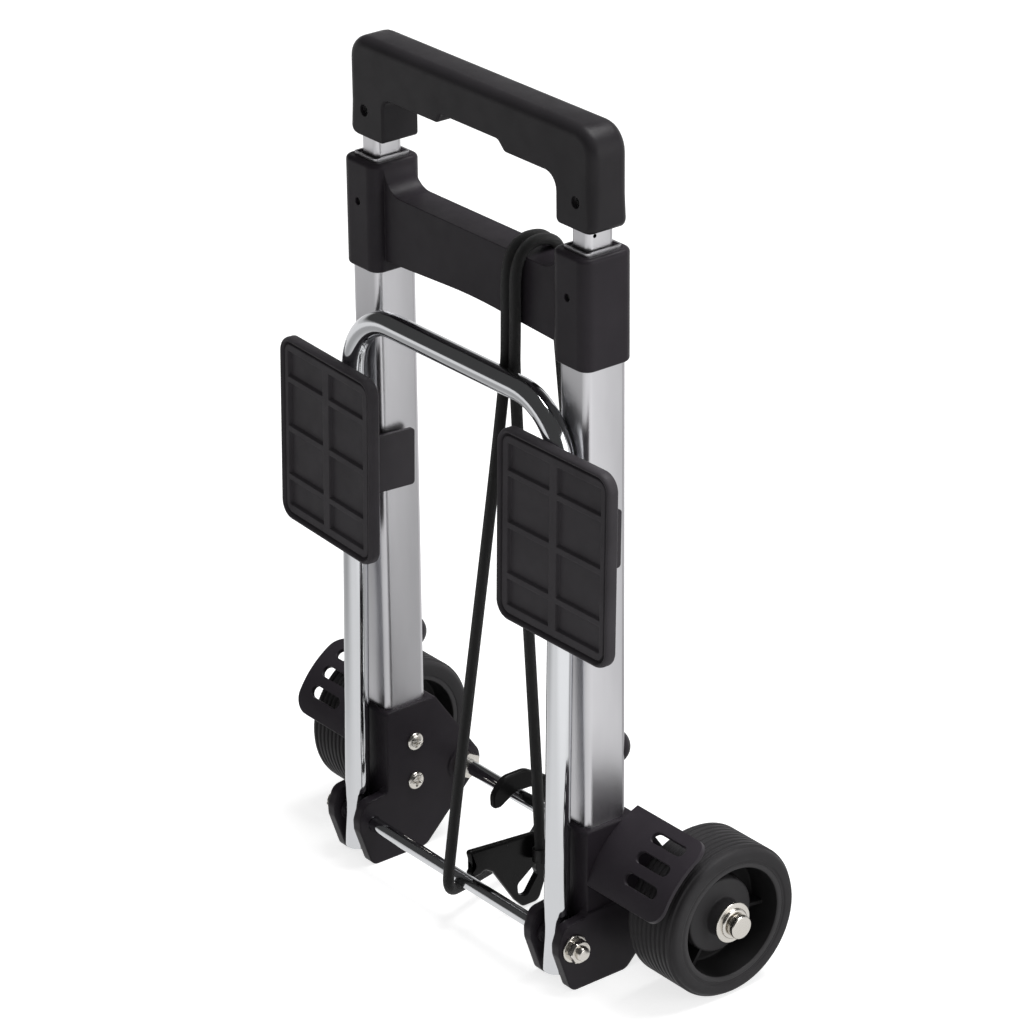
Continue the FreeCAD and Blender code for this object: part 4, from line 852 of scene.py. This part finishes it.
def make_pad(side, word):
    """A plate with a round bead, a groove and a field of shallow pockets; behind it the clip that
    turns on the leg and the fork's two arms."""
    middle_z, turn = PAD_PLACES[word]
    turn = side * math.radians(turn)

    def place(points):
        """Mirrors for the left side, turns about the leg, then leans back about the pivot."""
        x = side * (points[..., 0] - LEG_X)
        y, z = points[..., 1], points[..., 2] + middle_z
        sin_t, cos_t, sin_l, cos_l = math.sin(turn), math.cos(turn), math.sin(LEAN), math.cos(LEAN)
        x, y = x * cos_t - y * sin_t, x * sin_t + y * cos_t
        z = z - PIVOT[1]
        y, z = y * cos_l + z * sin_l, z * cos_l - y * sin_l
        return np.stack([x + side * LEG_X, y + PIVOT[0], z + PIVOT[1]], -1)

    shell = Shell()
    xs, zs = np.meshgrid(spaced(PAD_HALF_W, PAD_COLUMNS), spaced(PAD_HALF_H, PAD_ROWS),
                         indexing="ij")
    x, z, from_rim = round_corners(xs, zs)
    front = PAD_BACK - PAD_T
    centre_x = LEG_X + PAD_OUT
    shell.grid(place(np.stack([centre_x + x, front + pad_relief(x, z, from_rim), z], -1)))
    round_x = np.concatenate([x[:, 0], x[-1, 1:], x[-2::-1, -1], x[0, -2:0:-1]])
    round_z = np.concatenate([z[:, 0], z[-1, 1:], z[-2::-1, -1], z[0, -2:0:-1]])
    out_x = round_x - np.clip(round_x, PAD_CORNER - PAD_HALF_W, PAD_HALF_W - PAD_CORNER)
    out_z = round_z - np.clip(round_z, PAD_CORNER - PAD_HALF_H, PAD_HALF_H - PAD_CORNER)
    length = np.hypot(out_x, out_z)
    wall = [(0.0, RIM_PROFILE[0][1]), (0.0, 4.9), (0.15, 5.4), (0.5, 5.8), (1.0, PAD_T)]
    rings = np.stack([place(np.stack([
        centre_x + round_x - inset * out_x / length, np.full(len(round_x), front + deep),
        round_z - inset * out_z / length], -1)) for inset, deep in wall])
    shell.grid(rings, wrap_v=True)
    shell.cap(rings[-1])

    bore, half, behind = LEG_R + CLIP_GAP, LEG_R + 2.55, 3.2
    start = math.asin(behind / bore)
    arc = np.linspace(math.pi - start, 2 * math.pi + start, 25)
    hollow = bore * np.column_stack([np.cos(arc), np.sin(arc)])
    outer = rounded([(half, behind, 1.0), (half, PAD_BACK - 1.0, 0), (-half, PAD_BACK - 1.0, 0),
                     (-half, behind, 1.0)], closed=True)
    outline = np.concatenate([hollow, outer])
    clip = [np.column_stack([LEG_X + outline[:, 0], outline[:, 1], np.full(len(outline), level)])
            for level in (-16.0, 10.0)]
    shell.column(place(np.stack(clip)))

    low, high, tip, foot = -16.25, 10.25, 22.3, PAD_BACK - 1.0
    arm = rounded([(foot, low, 0), (tip, low, 1.6), (tip, high, 1.6), (foot, high, 0)])
    for inner in ARM_X:
        rings = [np.column_stack([np.full(len(arm), LEG_X + inner + across), arm])
                 for across in (0, ARM_THICK)]
        shell.column(place(np.stack(rings)))
    shell.piece("ribbed_pad_" + word, PAD_PLASTIC, "pad_" + word, "black_plastic",
                ["foot_pad_" + word], sharp=40.0)


# ---- cord's hooks ---------------------------------------------------------------------------

HOOK_SHARP = 50.0


def make_axle_hook():
    """A cast hook over the axle: a flat bar bent over it, with round edges and a blunt tip."""
    low, high = box_mm("cord_hook_axle")
    y, z = AXLE
    outline = rounded([
        (y - 16.8, z - 0.4, 2.3), (y - 17.2, z + 7.0, 6.0), (y - 10.4, z + 14.0, 7.0),
        (y + 2.0, z + 14.0, 9.0), (y + 16.6, z + 5.0, 7.0), (y + 16.6, z - 9.0, 3.0),
        (y + 7.5, z - 9.0, 3.0), (y + 7.5, z + 3.7, 3.5), (y - 4.0, z + 4.3, 6.0),
        (y - 12.6, z - 0.6, 2.0),
    ], steps=8)
    shell = Shell()
    plate(shell, outline, low.x, high.x, 1.1)
    shell.piece("cast_hook_axle", HOOK_COAT, "root", "black_plastic", ["cord_hook_axle"],
                HOOK_SHARP)


def make_rod_hook():
    """The flat hook plate on the pivot rod: two claws and an eye, stamped, with rolled edges."""
    low, high = box_mm("cord_hook_rod")
    y, z = PIVOT
    outline = rounded([
        (y - 3.3, z + 18.2, 1.4), (y - 1.8, z + 13.0, 2.0), (y - 0.4, z + 9.6, 0.9),
        (y - 3.5, z + 7.2, 1.1), (y + 0.2, z + 4.2, 1.5), (y + 3.6, z + 4.6, 1.6),
        (y + 5.8, z + 6.0, 2.6), (y + 10.6, z + 3.0, 4.0), (y + 22.6, z - 15.6, 3.0),
        (y + 27.0, 0.8, 3.0), (y + 36.0, 0.8, 4.0), (y + 38.6, z - 13.6, 2.0),
        (y + 41.0, z - 7.0, 3.0), (y + 41.0, z + 5.0, 4.0), (y + 35.4, z + 14.6, 3.0),
    ], steps=8)
    opening = rounded([
        (y + 34.3, z - 0.1, 0.9), (y + 23.6, z - 7.6, 2.4), (y + 24.0, z - 12.6, 2.2),
        (y + 28.6, z - 15.7, 2.2), (y + 35.3, z - 6.5, 1.0), (y + 34.2, z - 3.7, 0.8),
    ], steps=6)
    shell, eye = Shell(), Shell()
    plate(shell, outline, low.x, high.x, 1.2)
    made = shell.piece("stamped_hook_rod", HOOK_COAT, "root", "black_plastic", ["cord_hook_rod"],
                       HOOK_SHARP)
    plate(eye, opening, low.x - 2, high.x + 2)
    cut_away(made, [eye])
    made.data.set_sharp_from_angle(angle=math.radians(HOOK_SHARP))


both_sides(make_tyre)
both_sides(make_hub)
make_axle_ends()
make_pivot_ends()
make_bracket_screws()
make_grip()
make_squeeze_bar()
make_springs()
make_grip_screws()
both_sides(make_bush)
both_sides(make_pad)
make_axle_hook()
make_rod_hook()


# ---- studio ---------------------------------------------------------------------------------

FLOOR_HALF = 6.0
FLOOR_GREY = (0.6, 0.6, 0.6, 1)
FLOOR_LIFT = 0.75                   # glow that only the camera sees
FLOOR_SHINE = (0.42, 0.84, 1.05)    # mirrored: at the front left, in the middle, at the right
DIM_PLACE = (-0.42, -0.34, 0.0)
DIM_REACH = (0.12, 0.5)
BRIGHT_REACH = (0.16, 0.34)
BAND_RISE, BAND_FALL = (0.52, 0.82), (1.1, 1.5)     # bearings of a greyer wedge, in radians
BAND_SHINE = 0.5
SKY_SLOPE = (0.0, -0.25, 1.0)
SKY_EDGE = (0.04, 0.24)
SKY_SHINE = (0.80, 0.07)
WORLD_LEVEL = 0.4
LAMP_AIM = (0.0, 0.0, 0.2)


class StageShader:
    """A small helper for the floor's and the world's own nodes."""

    def __init__(self, tree):
        self.tree = tree
        tree.nodes.clear()

    def node(self, kind, links=(), **settings):
        """A node with its settings; links are (input, source or number)."""
        made = self.tree.nodes.new(kind)
        for name, value in settings.items():
            setattr(made, name, value)
        for name, source in links:
            if isinstance(source, bpy.types.NodeSocket):
                self.tree.links.new(source, made.inputs[name])
            else:
                made.inputs[name].default_value = source
        return made

    def ramp(self, value, start, end, low, high):
        """Runs smoothly from low to high as the value runs from start to end."""
        return self.node("ShaderNodeMapRange", (
            ("Value", value), ("From Min", start), ("From Max", end), ("To Min", low),
            ("To Max", high)), interpolation_type="SMOOTHSTEP").outputs["Result"]

    def math(self, operation, first, second):
        """One sum on two nodes' outputs or numbers."""
        made = self.node("ShaderNodeMath", ((0, first), (1, second)), operation=operation)
        return made.outputs[0]

    def mirror_ray(self):
        """One for a ray that left a polished or clear surface."""
        path = self.node("ShaderNodeLightPath").outputs
        return self.math("MAXIMUM", path["Is Glossy Ray"], path["Is Transmission Ray"])

    def camera_ray(self):
        """One for a ray straight from the camera."""
        return self.node("ShaderNodeLightPath").outputs["Is Camera Ray"]


def make_floor():
    """A pale table: white to the camera but for a faint shadow, and white in reflections, less so
    towards its front left and in a wedge behind."""
    half = FLOOR_HALF
    mesh = bpy.data.meshes.new("floor")
    corners = [(-half, -half, 0), (half, -half, 0), (half, half, 0), (-half, half, 0)]
    mesh.from_pydata(corners, [], [(0, 1, 2, 3)])
    floor = put("floor", mesh)
    material = bpy.data.materials.new("white_floor")
    material.use_nodes = True
    made = StageShader(material.node_tree)
    matt = made.node("ShaderNodeBsdfDiffuse", (("Color", FLOOR_GREY),)).outputs[0]
    lift = made.math("MULTIPLY", made.camera_ray(), FLOOR_LIFT)
    glow = made.node("ShaderNodeEmission", (("Strength", lift),)).outputs[0]
    plain = made.node("ShaderNodeAddShader", ((0, matt), (1, glow))).outputs[0]
    where = made.node("ShaderNodeTexCoord").outputs["Object"]
    from_dim = made.node("ShaderNodeVectorMath", ((0, where), (1, DIM_PLACE)),
                         operation="DISTANCE").outputs["Value"]
    flat = made.node("ShaderNodeSeparateXYZ", ((0, where),)).outputs
    bright = made.ramp(flat["X"], *BRIGHT_REACH, FLOOR_SHINE[1], FLOOR_SHINE[2])
    dim = made.ramp(from_dim, *DIM_REACH, FLOOR_SHINE[0] / FLOOR_SHINE[1], 1.0)
    bearing = made.math("ARCTAN2", flat["Y"], flat["X"])
    rise, fall = made.ramp(bearing, *BAND_RISE, 0.0, 1.0), made.ramp(bearing, *BAND_FALL, 1.0, 0.0)
    band = made.ramp(made.math("MULTIPLY", rise, fall), 0.0, 1.0, 1.0, BAND_SHINE)
    shine = made.math("MULTIPLY", made.math("MULTIPLY", bright, dim), band)
    mirrored = made.node("ShaderNodeEmission", (("Strength", shine),)).outputs[0]
    seen = made.node("ShaderNodeMixShader", (
        (0, made.mirror_ray()), (1, plain), (2, mirrored))).outputs[0]
    made.node("ShaderNodeOutputMaterial", (("Surface", seen),))
    mesh.materials.append(material)


def make_world():
    """Even light from all round; white to the camera, and to polished surfaces white at the
    horizon and dim overhead, as an open room is."""
    world = bpy.data.worlds.new("studio")
    bpy.context.scene.world = world
    world.use_nodes = True
    made = StageShader(world.node_tree)
    where = made.node("ShaderNodeTexCoord").outputs["Generated"]
    rise = made.node("ShaderNodeVectorMath", ((0, where), (1, SKY_SLOPE)),
                     operation="DOT_PRODUCT").outputs["Value"]
    sky = made.ramp(rise, *SKY_EDGE, *SKY_SHINE)
    lit = made.node("ShaderNodeBackground", (("Strength", WORLD_LEVEL),)).outputs[0]
    mirrored = made.node("ShaderNodeBackground", (("Strength", sky),)).outputs[0]
    plain = made.node("ShaderNodeBackground", (
        ("Color", (1, 1, 1, 1)), ("Strength", 1.0))).outputs[0]
    first = made.node("ShaderNodeMixShader", (
        (0, made.mirror_ray()), (1, lit), (2, mirrored))).outputs[0]
    seen = made.node("ShaderNodeMixShader", (
        (0, made.camera_ray()), (1, first), (2, plain))).outputs[0]
    made.node("ShaderNodeOutputWorld", (("Surface", seen),))


def soft_box(name, place, size, watts):
    """A square lamp turned towards the object."""
    lamp = bpy.data.lights.new(name, "AREA")
    lamp.shape = "SQUARE"
    lamp.size = size
    lamp.energy = watts
    made = put(name, lamp)
    made.location = place
    ahead = Vector(LAMP_AIM) - Vector(place)
    made.rotation_euler = ahead.to_track_quat("-Z", "Y").to_euler()


make_floor()
make_world()
soft_box("top_lamp", (0.2, 0.5, 1.8), size=1.0, watts=26.0)
soft_box("right_lamp", (1.8, 0.6, 0.7), size=1.2, watts=9.0)


# ---- camera ---------------------------------------------------------------------------------

VIEW_AZIMUTH = math.radians(51.73)
VIEW_ELEVATION = math.radians(25.03)
VIEW_ROLL = math.radians(-0.60)
VIEW_DISTANCE = 1.9051      # metres
VIEW_AIM = Vector((0.00392, -0.00630, 0.18904))
SENSOR = 36.0               # millimetres
LENS = 156.48


def make_camera():
    """A long lens from the front right, a little above."""
    sin_a, cos_a = math.sin(VIEW_AZIMUTH), math.cos(VIEW_AZIMUTH)
    sin_e, cos_e = math.sin(VIEW_ELEVATION), math.cos(VIEW_ELEVATION)
    ahead = Vector((-sin_a * cos_e, cos_a * cos_e, -sin_e))
    lens = bpy.data.cameras.new("camera")
    lens.sensor_width = SENSOR
    lens.lens = LENS
    lens.clip_start = 0.05
    lens.clip_end = 50.0
    camera = put("camera", lens)
    camera.location = VIEW_AIM - ahead * VIEW_DISTANCE
    camera.rotation_euler = ahead.to_track_quat("-Z", "Y").to_euler()
    camera.rotation_euler.rotate_axis("Z", VIEW_ROLL)
    bpy.context.scene.camera = camera


make_camera()
bpy.context.scene.view_settings.view_transform = "Standard"

bpy.context.view_layer.update()
